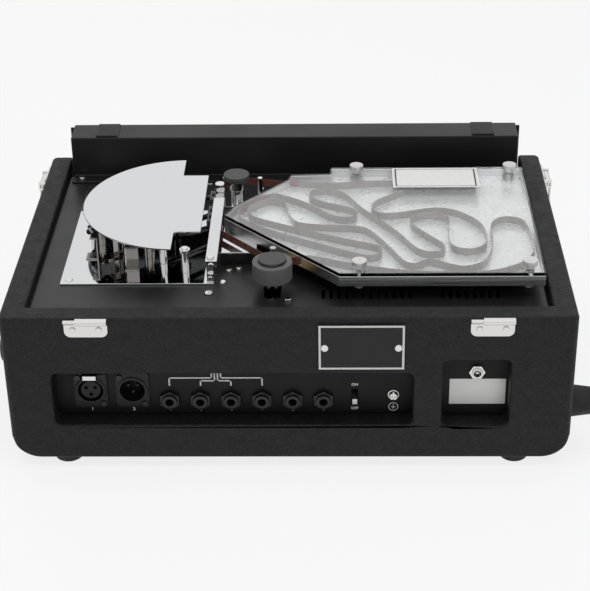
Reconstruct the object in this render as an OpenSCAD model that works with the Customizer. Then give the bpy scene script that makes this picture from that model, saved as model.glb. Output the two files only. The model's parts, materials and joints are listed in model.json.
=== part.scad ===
// Tape echo unit: a covered wooden case with a tape transport on its deck,
// sockets at the back (+Y) and a control panel at the front (-Y).
// Sizes are in millimetres, +Z is up and the feet stand on Z = 0.

/* [Case] */
// Outer width of the wooden case
case_w = 430; // [400:1:470]
// Outer depth of the wooden case
case_d = 283; // [276:1:310]
// Height of the wooden case above its feet
case_h = 125.5; // [118:0.5:145]
// Thickness of the side and back walls
wall_t = 18; // [15:0.5:20]
// Thickness of the bottom board
bottom_t = 12; // [9:0.5:15]
// Radius of the two long lower edges
lower_r = 22; // [10:1:28]
// Radius of the upright corners
corner_r = 5; // [2:0.5:8]
// Height of the rubber feet
foot_h = 8; // [5:0.5:14]
// Diameter of the rubber feet
foot_d = 25; // [18:1:34]
// Foot centres from the case's sides
foot_in = 41; // [30:1:60]

/* [Deck] */
// Depth of the deck's top face below the case's rim
deck_drop = 6; // [4:0.5:8]
// Thickness of the deck plate
deck_t = 2; // [1.5:0.1:3]
// Gap round the deck plate
deck_gap = 2; // [1:0.1:3]
// Height of the control housing above the deck
housing_h = 37; // [32:1:46]
// Depth of the control housing, front to back
housing_d = 29; // [26:0.5:34]
// Thickness of folded sheet metal
sheet_t = 1.5; // [1:0.1:2]

/* [Tape transport] */
// Width of the tape
tape_w = 6.35; // [6:0.05:6.6]
// Height of the tape's lower edge above the deck
tape_rise = 12.1; // [11.6:0.1:13]
// Thickness that stands in for the thin tape
tape_t = 0.3; // [0.2:0.05:0.4]
// Diameter of the capstan shaft
capstan_d = 5; // [4:0.1:6]
// Diameter of the pinch roller
pinch_d = 30.5; // [26:0.5:31]
// Height of the pinch roller
pinch_h = 14.2; // [12:0.1:16]
// Diameter of the guide roller
guide_d = 12; // [10:0.5:13]
// Diameter of the knob on the guide roller
guide_knob_d = 21.6; // [18:0.2:24]
// Radius of the half-moon head cover
cover_r = 80; // [74:0.5:84]
// Height of the head cover above the base plate
cover_rise = 24.5; // [23:0.5:30]
// Diameter of the flywheel under the deck
flywheel_d = 76; // [60:1:84]
// Diameter of the motor pulley
pulley_d = 14; // [10:0.5:20]

/* [Tape tank] */
// Thickness of the clear lid
lid_t = 3; // [2:0.2:4]
// Thickness of the tank's floor
tank_floor_t = 1.2; // [1:0.1:1.6]
// Thickness of the tank's side band
tank_wall_t = 1.5; // [1:0.1:2]
// Head diameter of the thumb screws
thumb_d = 11.5; // [9:0.5:13]
// Head height of the thumb screws
thumb_h = 7; // [5:0.5:9]

/* [Back sockets] */
// Spacing of the six phone jacks
jack_pitch = 23.7; // [22:0.1:25]
// Bore of a phone jack
jack_bore_d = 6.4; // [6.35:0.05:6.6]
// Width across the flats of a jack nut
jack_nut_af = 14.6; // [13:0.1:16]
// Bore of a three-pin socket's shell
xlr_bore_d = 19.2; // [19:0.1:19.6]
// Height of the jack row above the floor
jack_z = 50.6; // [46:0.1:54]

/* [Controls] */
// Diameter of the small knobs
knob_d = 21; // [17:0.5:24]
// Height of the small knobs
knob_h = 15; // [11:0.5:18]
// Diameter of the mode knob
mode_knob_d = 34; // [28:1:40]
// Width of the level meter
meter_w = 62; // [54:1:70]
// Height of the level meter
meter_h = 48; // [42:1:52]

/* [End feet and handle] */
// Distance between the two end feet
end_foot_span = 226; // [180:2:232]
// Height of the end feet above the floor
end_foot_z = 42; // [40:1:60]
// How far the end feet stand out from the side
end_foot_out = 20; // [18:0.5:24]
// Distance between the handle's end caps
handle_span = 160; // [140:2:180]
// Height of the handle above the floor
handle_z = 72; // [60:1:80]
// How far the strap stands off the side
handle_out = 16; // [15:0.5:20]
// Width of the strap
strap_w = 19; // [16:0.5:22]

/* [Hidden] */
$fn = 48;

// Small clearances and shared fits
eps = 0.01;
loose = 0.3;
running = 0.05;
slip = 0.2;

// Derived case levels
case_top = foot_h + case_h;
floor_z = foot_h + bottom_t;
half_w = case_w / 2;
half_d = case_d / 2;
in_x = half_w - wall_t;
in_y = half_d - wall_t;
deck_z = case_top - deck_drop;
deck_low = deck_z - deck_t;
deck_x = in_x - deck_gap;
deck_back = in_y - deck_gap;
housing_top = deck_z + housing_h;
housing_back = -half_d + housing_d;
batten_w = 12;
batten_h = 14;

// Side fittings
latch_y = -half_d + 27;
latch_w = 24;
latch_h = 34;
latch_top = case_top - 2.5;
latch_plate_t = 1.5;
latch_pin_x = half_w + 5;
latch_pin_z = latch_top - 8;
latch_pin_d = 3;
lever_t = 2;
lever_len = 24;
end_foot_d = 26;
end_foot_tip_d = 21;
cap_d = 27;
cap_tip_d = 23;
cap_out = 13;
strap_t = 4.5;

// Back windows, as [x0, x1, z0, z1]
jack_window = [-94, half_w - 35.5, 38.2, 84.5];
power_window = [-167, -116, 37.2, 95.8];
window_r = 5;
panel_lap = 8;
panel_t = 2;
panel_y = in_y;
panel_back = panel_y - panel_t;

// Back sockets
xlr_f = [153, 60];
xlr_m = [120.8, 60];
xlr_flange_w = 26;
xlr_flange_h = 31;
xlr_flange_t = 2;
xlr_body_d = 23.6;
xlr_depth = 22;
xlr_cup_depth = 15;
xlr_insert_d = 15.6;
xlr_pin_d = 2.4;
xlr_pin_r = 4.05;
xlr_pin_len = 11;
xlr_screw = [9.5, 12];
tab_w = 10.4;
tab_h = 4;
tab_out = 3.4;
tab_len = 9;
tab_z = xlr_f[1] + 12.8;
jack_x0 = 92.5;
jack_count = 6;
jack_bush_d = 11.4;
jack_bush_out = 5.5;
jack_nut_t = 3.4;
jack_body = [19, 26, 21];
jack_depth = 27;
switch_x = -50.1;
switch_z = 52.6;
switch_slot = [5, 14];
switch_travel = 6;
switch_knob = [4, 5];
switch_out = 3;
earth = [-79.7, 54.7];
dc = [-143, 76];
dc_bore_d = 5.6;
dc_pin_d = 2.1;
dc_bush_d = 8;
dc_nut_af = 11;
dc_nut_t = 3;
dc_out = 5;
plate = [-87.1, -22.3, 89.2, 128.2];
plate_t = 1.5;
plate_screw_x = [plate[0] + 5, plate[1] - 5];
plate_mid_z = (plate[2] + plate[3]) / 2;

// Lift-off hinge halves
hinge_x = [149.7, -151.3];
hinge_w = 32.5;
hinge_low = case_top - 15.5;
hinge_t = 1.2;
barrel_d = 5.6;
barrel_z = case_top - 1.6;
hinge_pin_d = 3;
hinge_pin_len = 9;

// Mirror-polished base plate and head cover
base_t = 1.5;
base_top = deck_z + base_t;
base_rect = [58.3, 177.5, -92, 81];
roller_rect = [22, 57.6, -92, -50];
cover_c = [88, -7];
cover_flat_x = 70;
cover_notch_x = 91;
cover_notch_far = -57;
cover_notch_near = 44;
cover_t = 1.5;
cover_z = base_top + cover_rise;
cover_post_at = [[131, 33], [164.5, -22], [100, -64], [100, 47]];
cover_post_d = 6;

// Tape levels and transport places
tape_z = deck_z + tape_rise;
tape_top = tape_z + tape_w;
tape_gap = 0.15;
roller_c = [47.5, -66];
guide_r = guide_d / 2;
post_d = 5;
roller_axle_d = 4;
post_far = [61, -57];
post_near = [61, 14];
slim_post = [27.7, -65.6];
slim_post_d = 4.2;
notch_post = [81.3, 62];
capstan_c = [12.6, 67.5];
capstan_r = capstan_d / 2;
pinch_gap = 1.55;
pinch_c = [12.6, capstan_c[1] + capstan_r + pinch_gap + pinch_d / 2];
pinch_z = tape_z + tape_w / 2 - pinch_h / 2 + 1.9;
pinch_shaft_d = 9;
pinch_cap_d = 21.6;
pinch_cap_h = 2.4;
pinch_pin_d = 4;
arm_z = deck_low - 9;
arm_t = 4;
arm_w = 16;
arm_boss = 0.5;
arm_pivot = [61.4, 94.5];
arm_pivot_d = 6;
slot_w = 13;
slot_run = [-2.2, 9.5];

// Heads stand in a row under the shield
head_y = [-46, -35.5, -18, -7, 4];
head_w = 9;
head_low = tape_z - 3.5;
head_top = tape_top + 0.8;
head_face_x = post_near[0] + post_d / 2;
head_back_x = head_face_x - 7;
shield = [55.3, 64.3, -29, 80.4];
shield_t = 1.2;
shield_z = head_top + 0.2;
shield_block_y = [70, shield[3] - shield_t];
shield_screw_l = 3.4;

// Pressure-pad arms
pad_x = head_face_x + tape_gap + tape_t + 0.3;
pad_t = 2.2;
pad_pivots = [[151, 14], [112, 37]];
pad_reach = [[-46, -35.5], [-18, -7, 4]];
pad_arm_t = 3.4;
pad_bar_t = 1.8;
pad_tail = 14;
pad_pivot_d = 4;
pad_low = tape_z + 1.2;
pad_high = tape_top - 1.2;

// Guide block that carries the tank's tip
block = [26.5, 56, 2, 48];
block_plate_t = 1.5;

// Tape tank, outline given at its outer face
tank_low = tape_z - 0.2 - tank_floor_t;
tank_floor = tank_low + tank_floor_t;
lid_z = tape_top + 0.55;
lid_top = lid_z + lid_t;
tank_x = -deck_x + 1.5;
tank_pts = [
  [tank_x, 102.5], [-38.2, 102.5], [54, 5], [45.5, -12],
  [3.5, -60.5], [1.5, -69], [-31.5, -70.5], [-31.5, -82], [tank_x, -82]
];
tank_in_pts = [
  [tank_x + 1.5, 101], [-38.9, 101], [52, 4.9], [44.1, -11.4],
  [2.1, -60], [0.1, -67.5], [-33, -69], [-33, -80.5], [tank_x + 1.5, -80.5]
];
thumb_at = [[-53.5, -73], [-182, -73], [-53.5, 94.5], [-182, 94.5]];
thumb_shank_d = 4;
thumb_nut_d = 7.5;
thumb_nut_h = 4.2;
standoff_at = [[-170, 68], [-62, 68], [-170, -58], [-62, -58]];
standoff_d = 8;

// Tape curve inside the tank, walked from the capstan slot to the exit slot
tape_in = [-16, 70.6];
tape_out = [-2, -62.2];
tank_route = [
  [-41.6, 81.2], [-68.3, 89.5], [-95.7, 95.4], [-123.6, 96.8], [-151.4, 95.3], [-176, 83.7],
  [-188.6, 64], [-189.5, 36.7], [-186, 14], [-179.6, 7.6], [-171.2, 6.2], [-163.7, 10.6],
  [-158.8, 22.2], [-158.2, 49.7], [-151.2, 75.8], [-142.2, 85.1], [-129.9, 87.6], [-111.1, 77.7],
  [-106.7, 76.8], [-98.6, 82.3], [-93.8, 83.1], [-87.4, 78.1], [-76.4, 53.6], [-63.5, 29.4],
  [-52.9, 21.7], [-25.9, 19.3], [-6.9, 15.1], [-0.1, 4.7], [5.9, -20.8], [12.3, -26.7],
  [20.7, -27], [33.4, -14.5], [35.4, -6.4], [29.9, 4.4], [6.4, 18.1], [-18.3, 31], [-43.4, 43],
  [-67.6, 53.6], [-71.4, 60.9], [-70.2, 65.9], [-66.3, 69.3], [-57.8, 69.8], [-34, 57.3],
  [-9.6, 43.5], [14.3, 28.9], [35.4, 11], [41.9, 1.5], [43.4, -5.5], [40.4, -11.8], [33, -20.2],
  [24.8, -30.1], [18.2, -35.5], [9.4, -35.3], [-12.4, -19.8], [-30.8, 0.5], [-41.8, 6.3],
  [-49.8, 5.1], [-52.8, 1.3], [-52.6, -3.9], [-47.5, -10.9], [-23.8, -22.7], [-15.1, -31.3],
  [-14.2, -36.8], [-16.2, -41.8], [-23.4, -46.3], [-32.3, -45.9], [-44.6, -35.8], [-57, -11.1],
  [-72.2, 11.4], [-86.4, 34.7], [-98.8, 58.8], [-109.3, 64.8], [-117.2, 63.2], [-120.2, 59.1],
  [-119.2, 50.8], [-103.5, 29.1], [-95.9, 14.8], [-97, 6.1], [-103.3, -0], [-115.2, -1.6],
  [-123.1, 2.3], [-126.7, 10.4], [-124.1, 37.1], [-126.2, 52.9], [-132.6, 59], [-141.2, 60.1],
  [-149, 55.8], [-154.3, 44.4], [-151.5, 17.8], [-135.2, -3.6], [-116.4, -9.9], [-90.5, -2.6],
  [-74.7, -0.8], [-67.3, -5.3], [-64.9, -13.3], [-70, -24.6], [-89.9, -42.1], [-93.9, -49.9],
  [-93.2, -55.2], [-86.8, -60.3], [-60.4, -59.6], [-32.8, -56.6]
];

// Drive under the deck
belt_z = deck_low - 46;
flywheel_h = 10;
capstan_top = pinch_z + pinch_h + pinch_cap_h - 1;
capstan_low = belt_z - 8;
motor_c = [-62, 22];
motor_d = 52;
motor_h = 36;
motor_shaft_d = 4;
pulley_h = 9;
belt_t = 1.2;
belt_w = 5;
bearing_d = 16;
bearing_flange_d = 26;

// Front panel
panel_front = -half_d + 2.2;
knob_y = panel_front - 0.6;
upper_row = foot_h + 112;
lower_row = foot_h + 42;
knob_x = [-165, -125, -85, -20, 20, 110, 150];
mode_x = 30;
meter_x = -118;
pot_hole_d = 8;
mode_hole_d = 10;
toggle_hole_d = 12.4;
toggle_x = 165;
toggle_pivot_y = panel_front + 3;
toggle_lean = 12;
toggle_drum_d = 5;
toggle_drum_w = 4.4;
shaft_d = 6;
pot_d = 17;
pot_h = 9;
housing_pad_x = [half_w - 53, 52 - half_w];
housing_pad_w = 19;
housing_pad_t = 1.5;
meter_depth = 22;
meter_bezel = 4;
needle_len = 26;
needle_pivot = [meter_x, upper_row - meter_h / 2 + 10];

// Shift that puts the frame's origin under the middle of the whole unit
front_reach = half_d - 2.2 + 0.6 + knob_h;
back_reach = half_d + barrel_d;
handle_reach = half_w + handle_out;
foot_reach = half_w + end_foot_out;
shift = [(foot_reach - handle_reach) / 2, (front_reach - back_reach) / 2, 0];

// ---------- shared shapes ----------

module at_frame() {
  translate(shift) children();
}

module rounded_rect(x0, x1, y0, y1, r) {
  translate([x0 + r, y0]) square([x1 - x0 - 2 * r, y1 - y0]);
  translate([x0, y0 + r]) square([x1 - x0, y1 - y0 - 2 * r]);
  for (x = [x0 + r, x1 - r], y = [y0 + r, y1 - r]) translate([x, y]) circle(r);
}

// A plate in the X-Z plane, from y0 to y1
module upright(y0, y1) {
  translate([0, y1, 0]) rotate([90, 0, 0]) linear_extrude(y1 - y0) children();
}

// A round bar along Y, from y0 to y1
module bar_y(x, z, d, y0, y1) {
  translate([x, y1, z]) rotate([90, 0, 0]) cylinder(h = y1 - y0, d = d);
}

// A round bar along X, from x0 to x1
module bar_x(y, z, d, x0, x1) {
  translate([x0, y, z]) rotate([0, 90, 0]) cylinder(h = x1 - x0, d = d);
}

module post(c, d, z0, z1) {
  translate([c[0], c[1], z0]) cylinder(h = z1 - z0, d = d);
}

module box_at(x0, x1, y0, y1, z0, z1) {
  translate([x0, y0, z0]) cube([x1 - x0, y1 - y0, z1 - z0]);
}

// A pan-head screw with its head's seat at the origin, pointing down -Z
module screw(head_d, head_h, shank_d, shank_l) {
  cylinder(h = head_h, d1 = head_d, d2 = head_d * 0.8);
  translate([0, 0, -shank_l]) cylinder(h = shank_l + eps, d = shank_d);
}

// ---------- case ----------

module case_profile() {
  translate([-half_w + lower_r, foot_h]) square([case_w - 2 * lower_r, case_h]);
  translate([-half_w, foot_h + lower_r]) square([case_w, case_h - lower_r]);
  for (s = [-1, 1]) translate([s * (half_w - lower_r), foot_h + lower_r]) circle(lower_r);
}

module case_body() at_frame() color([0.11, 0.11, 0.11]) {
  difference() {
    intersection() {
      upright(-half_d, half_d) case_profile();
      linear_extrude(case_top + 1) rounded_rect(-half_w, half_w, -half_d, half_d, corner_r);
    }
    box_at(-in_x, in_x, -half_d - 1, in_y, floor_z, case_top + 2);
    upright(in_y - 1, half_d + 1)
      rounded_rect(jack_window[0], jack_window[1], jack_window[2], jack_window[3], window_r);
    upright(in_y - 1, half_d + 1)
      rounded_rect(power_window[0], power_window[1], power_window[2], power_window[3], window_r);
    for (x = hinge_x, s = [-1, 1]) {
      bar_y(x + s * hinge_w * 0.3, hinge_low + 6.5, 2.6, half_d - 10, half_d + 1);
    }
    for (s = [-1, 1], y = [-1, 1] * (half_d - foot_in * 0.4)) {
      post([s * (half_w - foot_in), y], 3.2, foot_h - 1, foot_h + 8);
    }
    for (s = [-1, 1], dz = [4, latch_h - 5]) {
      bar_x(latch_y, latch_top - dz, 2.6, min(s * (half_w - 8), s * (half_w + 1)),
        max(s * (half_w - 8), s * (half_w + 1)));
    }
    for (s = [-1, 1]) {
      bar_x(s * handle_span / 2, handle_z, 3.2, half_w - 12, half_w + 1);
      bar_x(s * end_foot_span / 2, end_foot_z, 3.2, -half_w - 1, -half_w + 12);
    }
    for (x = plate_screw_x) bar_y(x, plate_mid_z, 3, half_d - 9, half_d + 1);
  }
  difference() {
    for (s = [-1, 1]) {
      translate([s > 0 ? in_x - batten_w : -in_x - eps, housing_back, deck_low - batten_h])
        cube([batten_w + eps, in_y - housing_back, batten_h]);
    }
    for (c = flange_screw_at) post(c, 3, deck_low - 6, deck_low + 1);
  }
}

// Four feet underneath, and two longer ones on which the case stands on its end
module rubber_feet() at_frame() color([0.05, 0.05, 0.05]) {
  for (s = [-1, 1], y = [-1, 1] * (half_d - foot_in * 0.4)) {
    translate([s * (half_w - foot_in), y, 0]) difference() {
      cylinder(h = foot_h, d1 = foot_d - 3, d2 = foot_d);
      translate([0, 0, -1]) cylinder(h = foot_h / 2 + 1, d = 10);
      cylinder(h = foot_h + 1, d = 4);
    }
  }
  for (s = [-1, 1]) {
    translate([-half_w, s * end_foot_span / 2, end_foot_z]) rotate([0, -90, 0]) difference() {
      cylinder(h = end_foot_out, d1 = end_foot_d, d2 = end_foot_tip_d);
      translate([0, 0, end_foot_out / 2]) cylinder(h = end_foot_out, d = 10);
      translate([0, 0, -1]) cylinder(h = end_foot_out, d = 4);
    }
  }
}

module wood_screws() at_frame() color([0.75, 0.75, 0.75]) {
  for (x = hinge_x, s = [-1, 1]) {
    translate([x + s * hinge_w * 0.3, half_d + hinge_t, hinge_low + 6.5])
      rotate([-90, 0, 0]) screw(5.4, 1.4, 2.4, 9);
  }
  for (s = [-1, 1], y = [-1, 1] * (half_d - foot_in * 0.4)) {
    translate([s * (half_w - foot_in), y, foot_h / 2]) rotate([180, 0, 0]) screw(8, 2.4, 3, 11);
  }
  for (s = [-1, 1], dz = [4, latch_h - 5]) {
    translate([s * (half_w + latch_plate_t), latch_y, latch_top - dz])
      rotate([0, s * 90, 0]) screw(4.8, 1.2, 2.4, 8);
  }
  for (s = [-1, 1]) {
    translate([half_w + cap_out, s * handle_span / 2, handle_z])
      rotate([0, 90, 0]) screw(9, 1.8, 3, cap_out + 11);
    translate([-half_w - end_foot_out / 2, s * end_foot_span / 2, end_foot_z])
      rotate([0, -90, 0]) screw(8, 2.4, 3, end_foot_out / 2 + 11);
  }
}

module hinge_leaves() at_frame() color([0.8, 0.8, 0.8]) {
  barrel_y = half_d + barrel_d / 2;
  for (x = hinge_x) {
    difference() {
      union() {
        upright(half_d, half_d + hinge_t) {
          translate([x - hinge_w / 2, hinge_low + 5]) square([hinge_w, barrel_z - hinge_low - 5]);
          translate([x - hinge_w / 2 + 5, hinge_low]) square([hinge_w - 10, 6]);
          for (s = [-1, 1]) translate([x + s * (hinge_w / 2 - 5), hinge_low + 5]) circle(5);
        }
        bar_x(barrel_y, barrel_z, barrel_d, x - hinge_w / 2, x + hinge_w / 2 - hinge_pin_len);
      }
      for (s = [-1, 1]) {
        bar_y(x + s * hinge_w * 0.3, hinge_low + 6.5, 2.6, half_d - 1, half_d + hinge_t + 1);
      }
      box_at(x + hinge_w / 2 - hinge_pin_len, x + hinge_w / 2 + 1, half_d - 1, half_d + hinge_t + 1,
        barrel_z - barrel_d / 2 - loose, barrel_z + 1);
    }
    bar_x(barrel_y, barrel_z, hinge_pin_d, x + hinge_w / 2 - hinge_pin_len - 1, x + hinge_w / 2);
  }
}

module handle_caps() at_frame() color([0.03, 0.03, 0.03]) {
  for (s = [-1, 1]) {
    translate([half_w, s * handle_span / 2, handle_z]) rotate([0, 90, 0]) difference() {
      cylinder(h = cap_out, d1 = cap_d, d2 = cap_tip_d);
      translate([0, 0, -1]) cylinder(h = cap_out + 2, d = 3.4);
      translate([-strap_w / 2 - slip, s > 0 ? -cap_d : -slip, cap_out - strap_t - 2 - slip])
        cube([strap_w + 2 * slip, cap_d, strap_t + 2 * slip]);
    }
  }
}

// The strap's side view: flat tongues in the caps and a raised grip between them
module strap_outline() {
  x0 = half_w + cap_out - 2;
  x1 = half_w + handle_out;
  y1 = handle_span / 2;
  y2 = y1 - cap_d / 2 - 2;
  y3 = y2 - 20;
  polygon([
    [x0, y1 - slip], [x0, y2], [x1, y3], [x1, -y3], [x0, -y2], [x0, -y1 + slip],
    [x0 - strap_t, -y1 + slip], [x0 - strap_t, -y2 + 2], [x1 - strap_t, -y3 + 2],
    [x1 - strap_t, y3 - 2], [x0 - strap_t, y2 - 2], [x0 - strap_t, y1 - slip]
  ]);
}

module handle_strap() at_frame() color([0.06, 0.06, 0.06]) {
  difference() {
    translate([0, 0, handle_z - strap_w / 2]) linear_extrude(strap_w) strap_outline();
    for (s = [-1, 1]) {
      bar_x(s * handle_span / 2, handle_z, 4, half_w, half_w + cap_out);
    }
  }
}

module latch_bases() at_frame() color([0.8, 0.8, 0.8]) {
  for (s = [-1, 1]) {
    difference() {
      union() {
        translate([s > 0 ? half_w : -half_w - latch_plate_t, latch_y - latch_w / 2, latch_top - latch_h])
          cube([latch_plate_t, latch_w, latch_h]);
        for (e = [-1, 1]) {
          ear_y = latch_y + e * (latch_w / 2 - 1);
          translate([s > 0 ? half_w : -latch_pin_x - 3, ear_y - 1, latch_pin_z - 4])
            cube([latch_pin_x + 3 - half_w, 2, 8]);
        }
      }
      for (dz = [4, latch_h - 5]) {
        bar_x(latch_y, latch_top - dz, 2.6, min(s * (half_w - 1), s * (half_w + 4)),
          max(s * (half_w - 1), s * (half_w + 4)));
      }
      bar_y(s * latch_pin_x, latch_pin_z, latch_pin_d + 2 * running, latch_y - latch_w, latch_y + latch_w);
    }
  }
}

// Lever with its claw, closed flat against the side; its pin turns in the base's ears
module latch_lever(s) {
  y0 = latch_y - latch_w / 2 + 2 + loose;
  y1 = latch_y + latch_w / 2 - 2 - loose;
  bar_y(s * latch_pin_x, latch_pin_z, latch_pin_d, latch_y - latch_w / 2, latch_y + latch_w / 2);
  bar_y(s * latch_pin_x, latch_pin_z, 6, y0, y1);
  translate([s > 0 ? latch_pin_x + 1 : -latch_pin_x - 1 - lever_t, y0, latch_pin_z - lever_len])
    cube([lever_t, y1 - y0, lever_len]);
}

module latch_lever_left() at_frame() color([0.82, 0.82, 0.82]) {
  latch_lever(1);
}

module latch_lever_right() at_frame() color([0.82, 0.82, 0.82]) {
  latch_lever(-1);
}

// ---------- back sockets ----------

// Two steel plates behind the back wall's windows
module socket_panels() at_frame() color([0.1, 0.1, 0.1]) {
  difference() {
    upright(panel_back, panel_y)
      rounded_rect(jack_window[0] - panel_lap, jack_window[1] + panel_lap,
        jack_window[2] - panel_lap, jack_window[3] + panel_lap, 3);
    for (c = [xlr_f, xlr_m]) {
      bar_y(c[0], c[1], xlr_body_d + 2 * slip, panel_back - 1, panel_y + 1);
      for (s = [-1, 1]) {
        bar_y(c[0] + s * xlr_screw[0], c[1] + s * xlr_screw[1], 3.2, panel_back - 1, panel_y + 1);
      }
    }
    box_at(xlr_f[0] - tab_w / 2 - slip, xlr_f[0] + tab_w / 2 + slip, panel_back - 1, panel_y + 1,
      tab_z - tab_h / 2 - slip, tab_z + tab_h / 2 + slip);
    for (i = [0 : jack_count - 1]) {
      bar_y(jack_x0 - i * jack_pitch, jack_z, jack_bush_d + 2 * slip, panel_back - 1, panel_y + 1);
    }
    box_at(switch_x - switch_slot[0] / 2, switch_x + switch_slot[0] / 2, panel_back - 1, panel_y + 1,
      switch_z - switch_slot[1] / 2, switch_z + switch_slot[1] / 2);
    bar_y(earth[0], earth[1], 4.4, panel_back - 1, panel_y + 1);
  }
  difference() {
    upright(panel_back, panel_y)
      rounded_rect(power_window[0] - panel_lap, power_window[1] + panel_lap,
        power_window[2] - panel_lap, power_window[3] + panel_lap, 3);
    bar_y(dc[0], dc[1], dc_bush_d + 2 * slip, panel_back - 1, panel_y + 1);
  }
}

module xlr_flange(c) {
  upright(panel_y, panel_y + xlr_flange_t)
    rounded_rect(c[0] - xlr_flange_w / 2, c[0] + xlr_flange_w / 2,
      c[1] - xlr_flange_h / 2, c[1] + xlr_flange_h / 2, 3);
}

module xlr_screw_holes(c) {
  for (s = [-1, 1]) {
    bar_y(c[0] + s * xlr_screw[0], c[1] + s * xlr_screw[1], 3.2, panel_back - 1, panel_y + xlr_flange_t + 1);
  }
}

module xlr_pin_places(c) {
  for (a = [30, 150, 270]) {
    translate([c[0] + xlr_pin_r * cos(a), 0, c[1] + xlr_pin_r * sin(a)]) children();
  }
}

module xlr_female() at_frame() color([0.06, 0.06, 0.06]) {
  face = panel_y + xlr_flange_t;
  difference() {
    union() {
      xlr_flange(xlr_f);
      bar_y(xlr_f[0], xlr_f[1], xlr_body_d, panel_y - xlr_depth, panel_y + eps);
      bar_y(xlr_f[0], xlr_f[1], xlr_body_d, panel_y, face + 1);
    }
    bar_y(xlr_f[0], xlr_f[1], xlr_bore_d, face - xlr_cup_depth, face + 2);
    xlr_screw_holes(xlr_f);
    box_at(xlr_f[0] - tab_w / 2 - slip, xlr_f[0] + tab_w / 2 + slip, panel_y - 12, face + 2,
      tab_z - tab_h / 2 - slip, tab_z + tab_h / 2 + slip);
  }
  difference() {
    bar_y(xlr_f[0], xlr_f[1], xlr_insert_d, face - xlr_cup_depth - 1, face - 0.5);
    xlr_pin_places(xlr_f) bar_y(0, 0, 2.6, face - xlr_cup_depth + 1, face + 1);
  }
}

module xlr_release_tab() at_frame() color([0.8, 0.8, 0.8]) {
  face = panel_y + xlr_flange_t;
  box_at(xlr_f[0] - tab_w / 2, xlr_f[0] + tab_w / 2, face - tab_len, face + tab_out,
    tab_z - tab_h / 2, tab_z + tab_h / 2);
}

module xlr_male() at_frame() color([0.06, 0.06, 0.06]) {
  face = panel_y + xlr_flange_t;
  difference() {
    union() {
      xlr_flange(xlr_m);
      bar_y(xlr_m[0], xlr_m[1], xlr_body_d, panel_y - xlr_depth, panel_y + eps);
      bar_y(xlr_m[0], xlr_m[1], xlr_body_d, panel_y, face + 1);
    }
    bar_y(xlr_m[0], xlr_m[1], xlr_bore_d, face - xlr_cup_depth, face + 2);
    xlr_screw_holes(xlr_m);
  }
  pin_back = face - xlr_cup_depth;
  xlr_pin_places(xlr_m) bar_y(0, 0, xlr_pin_d, pin_back - eps, pin_back + xlr_pin_len);
}

// Each jack: a body behind the panel, a threaded bush through it and a hex nut in front
module phone_jacks() at_frame() color([0.07, 0.07, 0.07]) {
  for (i = [0 : jack_count - 1]) {
    x = jack_x0 - i * jack_pitch;
    difference() {
      union() {
        box_at(x - jack_body[0] / 2, x + jack_body[0] / 2, panel_back - jack_body[1], panel_back,
          jack_z - jack_body[2] / 2, jack_z + jack_body[2] / 2);
        bar_y(x, jack_z, jack_bush_d, panel_back - eps, panel_y + jack_bush_out);
      }
      bar_y(x, jack_z, jack_bore_d, panel_y + jack_bush_out - jack_depth, panel_y + jack_bush_out + 1);
    }
    difference() {
      translate([x, panel_y + jack_nut_t, jack_z]) rotate([90, 30, 0])
        cylinder(h = jack_nut_t, d = jack_nut_af / cos(30), $fn = 6);
      bar_y(x, jack_z, jack_bush_d + 2 * running, panel_y - 1, panel_y + jack_nut_t + 1);
    }
  }
}

module slide_switch() at_frame() color([0.2, 0.2, 0.2]) {
  difference() {
    box_at(switch_x - 7, switch_x + 7, panel_back - 12, panel_back, switch_z - 15, switch_z + 15);
    box_at(switch_x - switch_slot[0] / 2, switch_x + switch_slot[0] / 2, panel_back - 6, panel_back + 1,
      switch_z - switch_slot[1] / 2, switch_z + switch_slot[1] / 2);
  }
}

// The lever rests at the lower, off end of its slot
module slide_switch_lever() at_frame() color([0.03, 0.03, 0.03]) {
  z0 = switch_z - switch_travel / 2 - switch_knob[1] / 2;
  box_at(switch_x - switch_knob[0] / 2, switch_x + switch_knob[0] / 2,
    panel_back - 6 + loose, panel_y + switch_out, z0, z0 + switch_knob[1]);
}

module earth_terminal() at_frame() color([0.8, 0.8, 0.8]) {
  bar_y(earth[0], earth[1], 4, panel_back - 6, panel_y + 1);
  difference() {
    union() {
      bar_y(earth[0], earth[1], 8.8, panel_y, panel_y + 1);
      translate([earth[0], panel_y + 1 - eps, earth[1]]) rotate([-90, 0, 0])
        cylinder(h = 3, d1 = 7.4, d2 = 6);
    }
    box_at(earth[0] - 5, earth[0] + 5, panel_y + 2.6, panel_y + 5, earth[1] - 0.6, earth[1] + 0.6);
    box_at(earth[0] - 0.6, earth[0] + 0.6, panel_y + 2.6, panel_y + 5, earth[1] - 5, earth[1] + 5);
  }
  translate([earth[0], panel_back, earth[1]]) rotate([90, 0, 0]) cylinder(h = 3, d = 8, $fn = 6);
}

module dc_inlet() at_frame() color([0.75, 0.75, 0.75]) {
  difference() {
    union() {
      bar_y(dc[0], dc[1], dc_bush_d, panel_back - eps, panel_y + dc_out);
      box_at(dc[0] - 6, dc[0] + 6, panel_back - 14, panel_back, dc[1] - 6, dc[1] + 6);
      translate([dc[0], panel_y + dc_nut_t, dc[1]]) rotate([90, 0, 0])
        cylinder(h = dc_nut_t, d = dc_nut_af / cos(30), $fn = 6);
    }
    bar_y(dc[0], dc[1], dc_bore_d, panel_back - 8, panel_y + dc_out + 1);
  }
  bar_y(dc[0], dc[1], dc_pin_d, panel_back - 9, panel_y + dc_out - 1.5);
}

module name_plate() at_frame() color([0.08, 0.08, 0.08]) {
  difference() {
    upright(half_d, half_d + plate_t) rounded_rect(plate[0], plate[1], plate[2], plate[3], 1);
    for (x = plate_screw_x) bar_y(x, plate_mid_z, 3.2, half_d - 1, half_d + plate_t + 1);
  }
}

// ---------- deck ----------

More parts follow.
